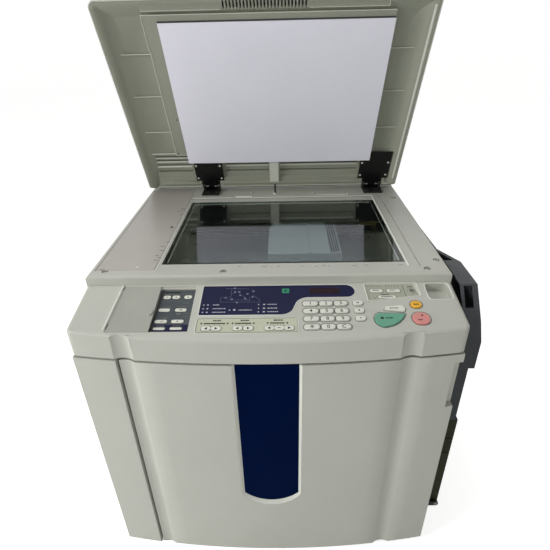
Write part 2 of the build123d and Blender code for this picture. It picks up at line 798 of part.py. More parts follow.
def lamp_carriage():
    """The full-rate carriage, with the lamp tube and the first mirror."""
    y0 = scan_start_y
    body = carriage(y0, lamp_carriage_depth, lamp_carriage_top)
    tube = rod_x(y0 + 12, lamp_carriage_top - 9, 5.0, rail_left + 14, rail_right - 14)
    mirror = Pos((rail_left + rail_right) / 2, y0 + 29, carriage_floor_z + 16) * Rot(45, 0, 0) * \
        Box(rail_right - rail_left - 28, 3, 22)
    return body + tube + mirror


def mirror_carriage():
    """The half-rate carriage, with its two mirrors folded into one vee."""
    y0 = scan_start_y + lamp_carriage_depth + 10
    body = carriage(y0, mirror_carriage_depth, mirror_carriage_top)
    vee = Pos((rail_left + rail_right) / 2, y0 + mirror_carriage_depth / 2, rail_z) * \
        Rot(45, 0, 0) * Box(rail_right - rail_left - 28, 3, 16)
    return body + vee


def scan_motor():
    """A flanged stepping motor on its side, with its pulley."""
    x, y = 245.0, glass_rear + 30
    z = pan_floor + 12
    can = rod_x(y, z, 11.5, x - 24, x + 18)
    flange = block(x + 18, x + 20, y - 15, y + 15, pan_floor, pan_floor + 24)
    pulley = rod_x(y, z, 6.0, x + 20, x + 30)
    return can + flange + pulley


def sensor_rod():
    z1 = glass_level + sensor_rod_top
    rod = rod_z(sensor_x, sensor_y, sensor_rod_radius, z1 - sensor_rod_length, z1)
    return fillet(rod.edges().group_by(Axis.Z)[-1], sensor_rod_radius * 0.4)


# Lid, drawn shut and then opened about its hinge

def open_lid(shape):
    pivot = Pos(0, hinge_y, hinge_z)
    return pivot * Rot(-lid_open_angle, 0, 0) * pivot.inverse() * shape


def lid_point(h):
    return glass_level + h


def lid_outline(inset, low, high):
    w, d = lid_width - 2 * inset, lid_depth - 2 * inset
    face = RectangleRounded(w, d, 14.0 - inset * 0.8)
    return Pos(0, (lid_front + lid_rear) / 2, lid_point(low)) * extrude(face, high - low)


def rear_bevel():
    """What the lid's lower rear edge gives up so that it can tip past the scanner's top."""
    reach, rise = hinge_from_lid_rear + 7.0, 22.0
    z = lid_point(lid_gap) - 0.5
    profile = Polyline((lid_rear - reach, z), (lid_rear + 5, z), (lid_rear + 5, z + rise),
                       (lid_rear, z + rise), close=True)
    face = Plane.YZ * make_face(profile.edges())
    return Pos(-lid_width, 0, 0) * extrude(face, lid_width * 2)


def lid_cover():
    """The outer shell: a shallow tray, open below."""
    shell = lid_outline(0.0, lid_gap, lid_height)
    shell = fillet(shell.edges().group_by(Axis.Z)[-1], 8.0)
    hollow = lid_outline(lid_wall, 0, lid_height - lid_wall)
    shell -= hollow
    return open_lid(shell - rear_bevel())


def hinge_notch(x0, x1):
    return block(x0 - 2, x1 + 2, hinge_y - 25, lid_rear + 5, glass_level - 1, lid_point(24))


def hinge_neck(span):
    middle = (span[0] + span[1]) / 2
    width = (span[1] - span[0]) * 0.62
    return middle - width / 2, middle + width / 2


def lid_liner():
    """The inner cover: a sloping rim, a sunk field, the raised frame for the pad and ribs."""
    inset = lid_wall + 0.3
    roof = liner_depth + lid_wall
    liner = lid_outline(inset, lid_gap, roof)
    w, d = lid_width - 2 * liner_flange, lid_depth - 2 * liner_flange
    field = extrude(RectangleRounded(w, d, 10.0), liner_depth - lid_gap, taper=62)
    liner -= Pos(0, (lid_front + lid_rear) / 2, lid_point(lid_gap)) * field
    frame_left, frame_front = pad_left - frame_margin, pad_y - frame_ahead
    frame_rear = pad_y + pad_depth - 22
    shelf = pad_thickness + 0.4
    frame = block(frame_left, pad_right + 0.5, frame_front, frame_rear,
                  lid_point(shelf), lid_point(roof))
    frame += block(pad_left + 2, pad_right, frame_rear - 1, pad_y + pad_depth,
                   lid_point(shelf), lid_point(roof))
    liner += frame
    liner -= block(frame_left + lid_wall, pad_right - 2, frame_front + lid_wall,
                   frame_rear - lid_wall, lid_point(shelf + lid_wall), lid_point(roof + 1))
    rib, rib_drop = 2.0, 3.0
    for distance in (104.0, 196.0, 286.0, 348.0):
        y = lid_front + distance
        liner += block(-lid_width / 2 + 24, frame_left + 1, y, y + rib,
                       lid_point(liner_depth - rib_drop), lid_point(liner_depth + 1))
    for distance in (102.0, 193.0, 283.0):
        y = lid_front + distance
        liner += block(pad_right, lid_width / 2 - 24, y, y + rib,
                       lid_point(liner_depth - rib_drop), lid_point(liner_depth + 1))
    beam_front, beam_rear = lid_front + liner_flange - 4, frame_front - beam_gap
    liner += block(frame_left + 3, pad_right - 15, beam_front, beam_rear,
                   lid_point(3), lid_point(roof))
    liner -= block(frame_left + 6, pad_right - 18, beam_front + lid_wall, beam_rear - lid_wall,
                   lid_point(3 + lid_wall), lid_point(roof + 1))
    first = -vent_pitch * (vent_count - 1) / 2
    for i in range(vent_count):
        x = first + i * vent_pitch
        liner -= block(x - vent_width / 2, x + vent_width / 2, beam_front + 1,
                       beam_rear - 1, glass_level - 1, lid_point(6))
    for back, low in ((64.0, 11.0), (48.0, 7.0), (34.0, 3.0)):
        y0 = lid_rear - back
        liner += block(-lid_width / 2 + 30, lid_width / 2 - 30, y0, lid_rear - 30,
                       lid_point(low), lid_point(roof))
    for span in (hinge_left, hinge_right):
        liner -= block(span[0] - 1, span[1] + 1, hinge_plate_front(span) - 1, hinge_y - 18,
                       glass_level - 1, lid_point(hinge_plate_level + sheet))
        liner += block(span[0] + 4, span[1] - 4, lid_rear - 86, hinge_y - 26,
                       lid_point(hinge_plate_level + sheet), lid_point(roof))
    for span in (hinge_left, hinge_right):
        liner -= hinge_notch(*hinge_neck(span))
    tab = (sensor_x - 11.5, sensor_x + 11.5)
    liner += block(tab[0], tab[1], pad_y + pad_depth + 0.5, hinge_y - 10,
                   lid_point(4.5), lid_point(7.0))
    liner += block(tab[0], tab[1], pad_y + pad_depth + 0.5, pad_y + pad_depth + 12,
                   lid_point(4.5), lid_point(roof))
    return open_lid(liner - rear_bevel())


def lid_pad():
    return open_lid(block(pad_left, pad_right, pad_y, pad_y + pad_depth,
                          lid_point(0.4), lid_point(0.4 + pad_thickness)))


def hinge_plate_front(span):
    """The right plate reaches further forward, past the pad's corner."""
    return lid_rear - 94.5 if span is hinge_left else lid_rear - 120.5


def lid_hinge_plates():
    """Steel leaves under the lid, each with a neck that curls into the hinge barrel."""
    plates = []
    for span in (hinge_left, hinge_right):
        n0, n1 = hinge_neck(span)
        low, high = lid_point(hinge_plate_level), lid_point(hinge_plate_level + sheet)
        leaf = block(span[0], span[1], hinge_plate_front(span), hinge_y - 22, low, high)
        leaf += block(n0 + 6, n1 - 6, hinge_y - 23, hinge_y, low, high)
        leaf += rod_x(hinge_y, hinge_z, hinge_barrel_radius, n0 + 6, n1 - 6)
        leaf -= rod_x(hinge_y, hinge_z, hinge_pin_radius + hinge_running_gap, n0, n1)
        plates.append(open_lid(leaf))
    return plates


def hinge_brackets():
    """The fixed halves: two bases on the scanner's top and the ears that carry the trays."""
    pieces = []
    base = 4.0
    for span in (hinge_left, hinge_right):
        n0, n1 = hinge_neck(span)
        piece = block(n0, n1, hinge_y - 44, hinge_y + 10, glass_level, glass_level + base)
        for x0, x1 in ((n0, n0 + 5), (n1 - 5, n1)):
            piece += block(x0, x1, hinge_y - 10, hinge_y + 9, glass_level, hinge_z)
            piece += rod_x(hinge_y, hinge_z, 9.0, x0, x1)
        piece -= rod_x(hinge_y, hinge_z, hinge_pin_radius, n0 - 1, n1 + 1)
        pieces.append(piece)
    ear_gap, ear_thickness = 1.5, 6.0
    for outer in (path_y - receiving_width / 2 - ear_gap - ear_thickness,
                  path_y + receiving_width / 2 + ear_gap):
        ear = block(half, receiving_pin_x, outer, outer + ear_thickness,
                    receiving_pin_z - receiving_ear, receiving_pin_z + receiving_ear)
        ear += rod_y(receiving_pin_x, receiving_pin_z, receiving_ear, outer,
                     outer + ear_thickness)
        ear -= rod_y(receiving_pin_x, receiving_pin_z, tray_pin_radius, outer - 1,
                     outer + ear_thickness + 1)
        pieces.append(ear)
    for outer in (path_y - feed_width / 2 - ear_gap - ear_thickness,
                  path_y + feed_width / 2 + ear_gap):
        ear = block(feed_pin_x, -half, outer, outer + ear_thickness,
                    feed_pin_z - feed_ear, feed_pin_z + feed_ear * 4)
        ear += rod_y(feed_pin_x, feed_pin_z, feed_ear, outer, outer + ear_thickness)
        ear -= block(feed_back - 10, feed_pin_x + 35, outer - 1, outer + ear_thickness + 1,
                     feed_pin_z + feed_ear, feed_pin_z + feed_ear * 5)
        ear -= rod_y(feed_pin_x, feed_pin_z, tray_pin_radius, outer - 1,
                     outer + ear_thickness + 1)
        pieces.append(ear)
    return pieces


def hinge_pins():
    """Every fixed hinge pin: lid, door and both trays."""
    pins = []
    for span in (hinge_left, hinge_right):
        n0, n1 = hinge_neck(span)
        pins.append(rod_x(hinge_y, hinge_z, hinge_pin_radius, n0 - 1, n1 + 1))
    y = door_pin_y()
    pins.append(rod_z(door_pin_x, y, door_pin_radius, foot_height, floor_z + door_pin_length))
    pins.append(rod_z(door_pin_x, y, door_pin_radius, door_top - door_pin_length,
                      fascia_z + door_pin_length + 2))
    for x, z, width in ((receiving_pin_x, receiving_pin_z, receiving_width),
                        (feed_pin_x, feed_pin_z, feed_width)):
        front, back = path_y - width / 2, path_y + width / 2
        pins.append(rod_y(x, z, tray_pin_radius, front - 7.5, front + 22))
        pins.append(rod_y(x, z, tray_pin_radius, back - 22, back + 7.5))
    return pins


# Printing works

def print_drum():
    """The screen drum: a thin tube between two flanges, with a toothed ring at the rear."""
    drum = rod_y(drum_x, drum_z, drum_radius, drum_front, drum_rear)
    drum -= rod_y(drum_x, drum_z, drum_radius - drum_wall, drum_front + drum_flange,
                  drum_rear - drum_flange)
    ring = rod_y(drum_x, drum_z, drum_radius + 1, drum_rear, drum_rear + 8)
    for i in range(drum_tooth_count):
        spin = Pos(drum_x, 0, drum_z) * Rot(0, 360 / drum_tooth_count * i, 0)
        ring += spin * block(drum_radius - 2, drum_radius + 1 + drum_tooth, drum_rear,
                             drum_rear + 8, -drum_tooth * 0.6, drum_tooth * 0.6)
    drum += ring
    front, back = drum_front + drum_flange + 1, drum_rear - drum_flange - 1
    seat = drum_z + drum_radius - drum_wall - 0.1
    drum += block(drum_x - 12, drum_x + 12, front, back, seat - 3, seat)
    drum -= block(drum_x - 8, drum_x + 8, front, back, seat, seat + drum_wall * 2)
    drum += block(drum_x - 6, drum_x + 6, front, back, seat, seat + 1.2)
    drum -= rod_y(drum_x, drum_z, drum_tube_radius + running_gap, drum_front - 1,
                  drum_rear - drum_flange * 2)
    drum -= rod_y(drum_x, drum_z, drum_journal_radius + running_gap, drum_front, drum_rear + 10)
    return drum


def drum_carrier():
    """The fixed core of the drum: front plate with its handle, ink tube and rear journal."""
    y0 = front_frame_y
    core = rod_y(drum_x, drum_z, drum_radius + drum_port_gap - joint_gap, y0, y0 + sheet)
    core += rod_y(drum_x, drum_z, drum_tube_radius, y0, drum_rear - 20)
    core -= rod_y(drum_x, drum_z, drum_tube_radius - drum_tube_wall, y0 - 1, drum_rear - 26)
    core += rod_y(drum_x, drum_z, drum_journal_radius, drum_rear - 21, rear_frame_y + sheet)
    grip = block(drum_x + 62, drum_x + 74, y0 - 14, y0, drum_z - 30, drum_z + 30)
    grip -= block(drum_x + 60, drum_x + 76, y0 - 8, y0, drum_z - 22, drum_z + 22)
    return core + grip


def ink_bottle():
    y0 = front_frame_y
    bore = drum_tube_radius - drum_tube_wall - joint_gap
    bottle = rod_y(drum_x, drum_z, bore, y0 - 3, drum_rear - 60)
    bottle += rod_y(drum_x, drum_z, bore * 0.7, y0 - 9, y0 - 3)
    return bottle


def roller(x, z, radius, y0, y1):
    body = rod_y(x, z, radius, y0, y1)
    return body + rod_y(x, z, journal_radius, front_frame_y, rear_frame_y + sheet)


def main_motor():
    x, z = drum_x - drum_radius - motor_from_drum, drum_z
    y0 = rear_frame_y + sheet
    motor = rod_y(x, z, motor_radius, y0 + 3, y0 + 3 + motor_length)
    side = motor_flange
    return motor + block(x - side, x + side, y0, y0 + 3, z - side, z + side)


def master_unit():
    """The case that makes masters: thermal head and stencil roll under one hood."""
    x0, x1, z0, z1 = master_box
    y0, y1 = front_frame_y + sheet, rear_frame_y
    case = block(x0, x1, y0, y1, z0, z1)
    case -= block(x0 + skin, x1 - skin, y0 + skin, y1 - skin, z0 + skin, z1 - skin)
    roll = rod_y((x0 + x1) / 2, (z0 + z1) / 2, master_roll_radius, y0 + skin, y1 - skin)
    return case + roll


# Paper trays

def side_prism(points, x0, x1, grow=0.0):
    """A prism along X from (y, z) corners, grown or shrunk all round."""
    outline = make_face(Polyline(*points, close=True).edges())
    if grow:
        outline = offset(outline, grow, kind=Kind.INTERSECTION)
    return Pos(x0, 0, 0) * extrude(Plane.YZ * outline, x1 - x0)


def cap_front_window():
    """The window through the cap's front slope, cut square to it."""
    (y0, drop0), (y1, drop1) = cap_profile[1:3]
    front = path_y - receiving_width / 2 - cap_side
    start, end, left, right = cap_window
    reach = tray_wall + 1
    share = reach / sqrt((y1 - y0) ** 2 + (drop0 - drop1) ** 2)
    dy, dz = (drop0 - drop1) * share, (y0 - y1) * share
    corners = []
    for along in (start, end):
        y, z = front + y0 + along * (y1 - y0), cap_top - drop0 + along * (drop0 - drop1)
        corners.append(((y - dy, z - dz), (y + dy, z + dz)))
    points = [*corners[0], *reversed(corners[1])]
    return side_prism(points, receiving_face + left, receiving_face + right)


def receiving_tray():
    """A deep pan whose open face lies against the body, with a stouter cap at its top end."""
    w = receiving_width / 2
    front, rear = path_y - w, path_y + w
    cap_front = front - cap_side
    outer = half + cap_reach
    outline = [(cap_front, cap_bottom)]
    outline += [(cap_front + y, cap_top - drop) for y, drop in cap_profile]
    outline.append((rear + cap_side, cap_bottom))
    pan = side_prism(outline, receiving_face, outer)
    pan -= side_prism(outline, receiving_face - 1, outer - tray_wall, -tray_wall)
    pan += block(receiving_face, receiving_back, front, rear, receiving_bottom, cap_bottom)
    pan += block(receiving_face, receiving_back + receiving_step_out, front, rear,
                 receiving_bottom, receiving_step)
    inner_back = receiving_back - tray_wall
    pan -= block(receiving_face - 1, inner_back, front + tray_wall, rear - tray_wall,
                 receiving_bottom + receiving_floor, cap_bottom + tray_wall + 1)
    y0, y1, width = cap_hatch
    pan -= block(receiving_face - 1, receiving_face + width, cap_front + y0, cap_front + y1,
                 cap_bottom + tray_wall, cap_top + 1)
    pan -= cap_front_window()
    for z in receiving_slots:
        pan -= block(receiving_face - 1, receiving_back, front - 1, front + tray_wall - 1,
                     z - receiving_slot_height / 2, z + receiving_slot_height / 2)
    for side in (-1, 1):
        edge = path_y + side * w
        inner = edge - side * 20
        y0, y1 = min(edge, inner), max(edge, inner)
        pan += rod_y(receiving_pin_x, receiving_pin_z, receiving_ear, y0, y1)
        pan -= rod_y(receiving_pin_x, receiving_pin_z, tray_pin_radius + running_gap,
                     min(edge, edge - side * 23) - 1, max(edge, edge - side * 23) + 1)
    return pan


def feed_tray():
    """The paper table: a ribbed slab whose paper side faces the body."""
    w = feed_width / 2
    table = block(feed_back, feed_face, path_y - w, path_y + w, feed_bottom, feed_top)
    table -= block(feed_back - 1, feed_face - tray_wall, path_y - w + tray_wall,
                   path_y + w - tray_wall, feed_bottom + 24, feed_top - tray_wall)
    for z in feed_ribs:
        table += block(feed_back + 2, feed_face, path_y - w, path_y + w, z, z + tray_wall)
    for side in (-1, 1):
        edge = path_y + side * w
        far = edge - side * 23
        table -= rod_y(feed_pin_x, feed_pin_z, tray_pin_radius + running_gap,
                       min(edge, far) - 1, max(edge, far) + 1)
    return table


def fence(face_x, height, y, z0, z1, foot):
    """A side guide that stands on a tray's paper side, with a foot that slides on it."""
    side = 1 if height > 0 else -1
    base = face_x + side * fence_seat
    tip = face_x + height
    wall = block(min(base, tip), max(base, tip), y - fence_thickness / 2,
                 y + fence_thickness / 2, z0, z1)
    thick = base + side * 3.0
    return wall + block(min(base, thick), max(base, thick), min(y, y + foot), max(y, y + foot),
                        z0 + fence_foot_inset, z1 - fence_foot_inset)


def feed_guide(side):
    y = path_y + side * feed_fence_half_gap
    return fence(feed_face, feed_fence_height, y, *feed_fence_span, side * 9.0)


def receiving_guide(side):
    y = path_y + side * receiving_fence_half_gap
    return fence(receiving_back - tray_wall, -receiving_fence_height, y, *receiving_fence_span,
                 side * 30.0)


def main():
    os.makedirs("parts", exist_ok=True)
    save("base_plate", base_plate())
    save("base_feet", base_feet())
    save("front_frame_plate", frame_plate(front_frame_y, True))
    save("rear_frame_plate", frame_plate(rear_frame_y, False))
    save("left_cover", side_cover(-1))
    save("right_cover", side_cover(1))
    save("rear_cover", rear_cover())
    save("front_strip", front_strip())
    save("front_door", front_door())
    save("door_inlay", door_inlay())
    save("power_inlet", power_inlet())
    save("power_switch", power_switch())
    save("panel_housing", panel_housing())
    save("panel_films", panel_films())
    save("membrane_keys", membrane_keys())
    save("cover_slider", cover_slider())
    names = ["1", "2", "3", "4", "5", "6", "7", "8", "9", "star", "0", "clear"]
    for name, place in zip(names, number_places()):
        box = number_box(place)
        save(f"key_{name}", key_body(lambda a, b, g: key_shape(box, a, b, number_key_radius, g)))
    save("start_key", key_body(start_shape))
    save("reset_key", key_body(lambda a, b, g: key_shape(reset_box, a, b, reset_radius, g)))
    save("stop_key", key_body(lambda a, b, g: key_shape(stop_box, a, b, stop_radius, g)))
    save("scanner_top", scanner_top())
    save("scanner_pan", scanner_pan())
    save("exposure_glass", exposure_glass())
    save("scale_plate", scale_plate())
    save("lens_cover", lens_cover())
    save("scan_rails", scan_rails())
    save("lamp_carriage", lamp_carriage())
    save("mirror_carriage", mirror_carriage())
    save("scan_motor", scan_motor())
    save("lid_sensor_rod", sensor_rod())
    save("lid_cover", lid_cover())
    save("lid_liner", lid_liner())
    save("lid_pad", lid_pad())
    save("lid_hinge_plates", lid_hinge_plates())
    save("hinge_brackets", hinge_brackets())
    save("hinge_pins", hinge_pins())
    save("print_drum", print_drum())
    save("drum_carrier", drum_carrier())
    save("ink_bottle", ink_bottle())
    save("pressure_roller", roller(drum_x, roller_z, pressure_roller_radius, roller_front,
                                   roller_rear))
    save("pickup_roller", roller(pickup_x, pickup_z, pickup_radius, path_y - pickup_length / 2,
                                 path_y + pickup_length / 2))
    save("main_motor", main_motor())
    save("master_unit", master_unit())
    save("receiving_tray", receiving_tray())
    save("receiving_guide_front", receiving_guide(-1))
    save("receiving_guide_rear", receiving_guide(1))
    save("feed_tray", feed_tray())
    save("feed_guide_front", feed_guide(-1))
    save("feed_guide_rear", feed_guide(1))


main()
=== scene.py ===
import json
import math

import bmesh
import bpy
import numpy as np
from mathutils import Matrix, Vector


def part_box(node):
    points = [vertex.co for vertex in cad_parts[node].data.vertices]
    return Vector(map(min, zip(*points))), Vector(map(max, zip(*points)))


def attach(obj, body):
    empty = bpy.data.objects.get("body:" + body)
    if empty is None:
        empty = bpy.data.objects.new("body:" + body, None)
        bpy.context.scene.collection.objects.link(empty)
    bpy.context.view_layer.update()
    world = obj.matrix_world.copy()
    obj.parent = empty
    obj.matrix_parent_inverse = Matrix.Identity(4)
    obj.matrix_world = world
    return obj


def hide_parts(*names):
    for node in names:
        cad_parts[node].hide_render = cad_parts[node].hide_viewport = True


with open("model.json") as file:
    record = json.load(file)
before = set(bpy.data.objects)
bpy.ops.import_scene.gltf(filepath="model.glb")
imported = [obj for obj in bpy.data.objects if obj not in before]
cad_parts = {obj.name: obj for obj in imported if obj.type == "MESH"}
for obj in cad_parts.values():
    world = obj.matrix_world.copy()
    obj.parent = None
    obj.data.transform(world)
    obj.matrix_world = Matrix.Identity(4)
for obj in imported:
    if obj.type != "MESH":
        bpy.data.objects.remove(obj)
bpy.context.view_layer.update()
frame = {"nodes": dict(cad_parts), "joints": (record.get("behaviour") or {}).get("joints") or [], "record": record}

nodes = frame["nodes"]
mm = 0.001
scene = bpy.context.scene
scene.view_settings.view_transform = "Standard"

bodyOf = {n: b for b, members in frame["record"]["behaviour"]["bodies"].items() for n in members}
slotOf = {row["node"]: row["material_slot"] for row in frame["record"]["subparts"]}

# Places that the pieces share, read from the frame
skinLow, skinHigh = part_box("rear_cover")
middleX = (skinLow.x + skinHigh.x) / 2      # middle of the lower body
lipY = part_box("scanner_top")[0].y           # front of the scanner's top
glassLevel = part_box("exposure_glass")[1].z
lipZ = glassLevel - 16.5 * mm
panelSlope = math.radians(10.7)
lean, rise = math.sin(panelSlope), math.cos(panelSlope)
hinge = np.array(next(j for j in frame["joints"] if j["name"] == "lid_hinge")["pos_m"])
lidOpen = math.radians(65)
print("stage 1: frame read,", len(nodes), "nodes")


# A colour written as seen, 0 to 255, turned to scene light and then made darker or paler
def tone(colour, factor=1.0, lift=0.0):
    part = [c / 255 for c in colour]
    light = [c / 12.92 if c <= 0.04045 else ((c + 0.055) / 1.055) ** 2.4 for c in part]
    return (*(min(1, c * factor + lift) for c in light), 1)


# A shader node by its kind, or a shared group
def addNode(tree, kind, values=None, settings=None):
    isGroup = not isinstance(kind, str)
    node = tree.nodes.new("ShaderNodeGroup" if isGroup else "ShaderNode" + kind)
    if isGroup:
        node.node_tree = kind
    for key, value in (settings or {}).items():
        setattr(node, key, value)
    for key, value in (values or {}).items():
        node.inputs[key].default_value = value
    return node


# Nodes from rows of kind, inputs and settings, then links written "node.socket > node.socket"
def fillTree(tree, parts, table, links):
    parts.update({key: addNode(tree, *row) for key, row in table.items()})
    for line in links:
        (source, out), (target, into) = (end.split(".") for end in line.split(" > "))
        tree.links.new(parts[source].outputs[int(out) if out.isdigit() else out],
                       parts[target].inputs[int(into) if into.isdigit() else into])


# smear is the base, spread and scale of the roughness, and depth the strength of the bump
def newMaterial(name, fixed, table, links, smear=None, depth=None):
    material = bpy.data.materials.new(name)
    material.use_nodes = True
    shader = material.node_tree.nodes["Principled BSDF"]
    for key, value in fixed.items():
        shader.inputs[key].default_value = value
    if smear:
        table["smear"] = (smearMarks, dict(zip(("Base", "Spread", "Scale"), smear)))
        links.append("smear.Roughness > shader.Roughness")
    if depth:
        table["bump"] = ("Bump", {"Strength": depth, "Distance": 0.0002})
        links += ["skin.Height > bump.Height", "bump.Normal > shader.Normal"]
    fillTree(material.node_tree, {"shader": shader}, table, links)
    return material


def makeCamera():
    look = {
        "place": (0.05416, -0.85428, 0.98243),
        "turn": -1.35,   # degrees about the upright
        "tip": 29.60,    # degrees down
        "roll": 1.36,
        "lens": 28.79,   # on a sensor of this width, in mm
        "sensor": 36,
        "clip": (0.02, 40),
    }
    turn, tip, roll = (math.radians(look[k]) for k in ("turn", "tip", "roll"))
    ahead = Vector((math.sin(turn) * math.cos(tip), math.cos(turn) * math.cos(tip), -math.sin(tip)))
    level = Vector((math.cos(turn), -math.sin(turn), 0))
    down = ahead.cross(level)
    right = math.cos(roll) * level + math.sin(roll) * down
    below = math.cos(roll) * down - math.sin(roll) * level
    data = bpy.data.cameras.new("photoCamera")
    data.lens, data.sensor_width, data.sensor_fit = look["lens"], look["sensor"], "HORIZONTAL"
    data.clip_start, data.clip_end = look["clip"]
    cam = bpy.data.objects.new("photoCamera", data)
    turned = Matrix((right, -below, -ahead)).transposed().to_4x4()
    cam.matrix_world = Matrix.Translation(look["place"]) @ turned
    scene.collection.objects.link(cam)
    scene.camera = cam


def makeStudio():
    look = {
        "floorColour": (236, 236, 234), "floorSize": 40, "floorDrop": 0.0005,
        "floorGlow": 0.75,       # added for the camera alone, so that the lit floor runs to white
        "backdropWhite": 1.0,
        "ambient": 0.2,
        "lamps": [  # name, place, aim, size, watts
            ("overheadLamp", (-0.3, 0.3, 3.2), (0.0, 0.0, 0.6), 1.4, 23),
            ("keyLamp", (-2.5, -1.5, 1.8), (0.0, -0.1, 0.55), 0.7, 38),
            ("sideLamp", (-3.3, -0.55, 0.9), (0.0, -0.3, 0.35), 0.6, 34),
            ("frontLamp", (0.2, -3.0, 1.0), (0.0, -0.2, 0.7), 1.4, 12),
        ],
    }
    white, highest = (1, 1, 1, 1), {"operation": "MAXIMUM"}
    world = bpy.data.worlds.new("studioWorld")
    scene.world = world
    world.use_nodes = True
    world.node_tree.nodes.clear()
    fillTree(world.node_tree, {}, {
        "out": ("OutputWorld",), "path": ("LightPath",), "mix": ("MixShader",),
        "ambient": ("Background", {"Color": white, "Strength": look["ambient"]}),
        "backdrop": ("Background", {"Color": white, "Strength": look["backdropWhite"]}),
        "first": ("Math", {}, highest), "either": ("Math", {}, highest)}, [
        "path.Is Camera Ray > first.0", "path.Is Glossy Ray > first.1", "first.0 > either.0",
        "path.Is Transmission Ray > either.1", "either.0 > mix.Fac", "ambient.0 > mix.1",
        "backdrop.0 > mix.2", "mix.0 > out.Surface"])

    bpy.ops.mesh.primitive_plane_add(size=look["floorSize"], location=(0, 0, -look["floorDrop"]))
    floor = bpy.context.object
    floor.name = "studioFloor"
    floor.data.materials.append(newMaterial(
        "floorPaint", {"Base Color": tone(look["floorColour"]), "Roughness": 0.8, "Emission Color": white},
        {"path": ("LightPath",), "glow": ("Math", {1: look["floorGlow"]}, {"operation": "MULTIPLY"})},
        ["path.Is Camera Ray > glow.0", "glow.0 > shader.Emission Strength"]))

    for name, place, aim, size, watts in look["lamps"]:
        data = bpy.data.lights.new(name, "AREA")
        data.energy, data.size = watts, size
        lamp = bpy.data.objects.new(name, data)
        lamp.location = place
        lamp.rotation_euler = (Vector(aim) - Vector(place)).to_track_quat("-Z", "Y").to_euler()
        scene.collection.objects.link(lamp)


makeCamera()
makeStudio()
print("stage 2: camera, floor and lamps")


# A shared effect: the size of each input's default gives its kind, and "spot" is where the surface is
def newGroup(name, inputs, outputs, table, links):
    group = bpy.data.node_groups.new(name, "ShaderNodeTree")
    kinds = {1: "NodeSocketFloat", 3: "NodeSocketVector", 4: "NodeSocketColor"}
    for label, value in inputs.items():
        kind = kinds[np.size(value)]
        group.interface.new_socket(label, in_out="INPUT", socket_type=kind).default_value = value
    for label in outputs:
        kind = "NodeSocketColor" if label == "Color" else "NodeSocketFloat"
        group.interface.new_socket(label, in_out="OUTPUT", socket_type=kind)
    ends = {"ins": group.nodes.new("NodeGroupInput"), "outs": group.nodes.new("NodeGroupOutput"),
            "spot": addNode(group, "TexCoord")}
    fillTree(group, ends, table, links)
    return group


times, colours = {"operation": "MULTIPLY"}, {"data_type": "RGBA"}

# two colours mixed by slow noise, with a second finer noise that mottles them
toneDrift = newGroup(
    "toneDrift", {"Light": (0.6, 0.6, 0.6, 1), "Dark": (0.5, 0.5, 0.5, 1), "Scale": 6.0, "Mottle": 90.0},
    ("Color", "Mask"), {
        "slow": ("TexNoise", {"Detail": 3.0, "Roughness": 0.6}), "fine": ("TexNoise", {"Detail": 2.0}),
        "both": ("Math", {1: 0.35}, {"operation": "MULTIPLY_ADD"}),
        "spread": ("MapRange", {"From Min": 0.45, "From Max": 0.9}), "mix": ("Mix", {}, colours)},
    ["spot.Object > slow.Vector", "spot.Object > fine.Vector", "ins.Scale > slow.Scale",
     "ins.Mottle > fine.Scale", "fine.Fac > both.0", "slow.Fac > both.2", "both.0 > spread.Value",
     "spread.Result > mix.Factor", "ins.Light > mix.A", "ins.Dark > mix.B", "mix.Result > outs.Color",
     "spread.Result > outs.Mask"])

# moulded leather-like grain: cell noise over fine noise, as a height
mouldGrain = newGroup(
    "mouldGrain", {"Scale": 900.0, "Cells": 0.5}, ("Height",), {
        "noise": ("TexNoise", {"Detail": 2.0, "Roughness": 0.7}), "cells": ("TexVoronoi",),
        "mix": ("Mix", {}, {"data_type": "FLOAT"})},
    ["spot.Object > noise.Vector", "spot.Object > cells.Vector", "ins.Scale > noise.Scale",
     "ins.Scale > cells.Scale", "ins.Cells > mix.Factor", "noise.Fac > mix.A", "cells.Distance > mix.B",
     "mix.Result > outs.Height"])

# dust lies where the surface faces up, broken by noise
dustFall = newGroup(
    "dustFall", {"Scale": 30.0, "Amount": 0.4}, ("Mask",), {
        "noise": ("TexNoise", {"Detail": 5.0, "Roughness": 0.75}), "split": ("SeparateXYZ",),
        "up": ("MapRange", {"From Min": 0.3, "From Max": 1.0}),
        "patch": ("MapRange", {"From Min": 0.42, "From Max": 0.72}),
        "both": ("Math", {}, times), "amount": ("Math", {}, times)},
    ["spot.Object > noise.Vector", "ins.Scale > noise.Scale", "spot.Normal > split.Vector",
     "split.Z > up.Value", "noise.Fac > patch.Value", "up.Result > both.0", "patch.Result > both.1",
     "both.0 > amount.0", "ins.Amount > amount.1", "amount.0 > outs.Mask"])

# wiping marks and finger grease: noise drawn out along one way, as a change of roughness
smearMarks = newGroup(
    "smearMarks", {"Base": 0.3, "Spread": 0.12, "Scale": 9.0}, ("Roughness",), {
        "draw": ("Mapping", {"Scale": (1.0, 2.6, 1.6), "Rotation": (0.2, 0.3, 0.5)}),
        "noise": ("TexNoise", {"Detail": 6.0, "Roughness": 0.7, "Distortion": 0.6}),
        "level": ("MapRange", {"From Min": 0.3, "From Max": 0.7, "To Min": -1.0, "To Max": 1.0}),
        "total": ("Math", {}, {"operation": "MULTIPLY_ADD"})},
    ["spot.Object > draw.Vector", "draw.Vector > noise.Vector", "ins.Scale > noise.Scale",
     "noise.Fac > level.Value", "level.Result > total.0", "ins.Spread > total.1", "ins.Base > total.2",
     "total.0 > outs.Roughness"])

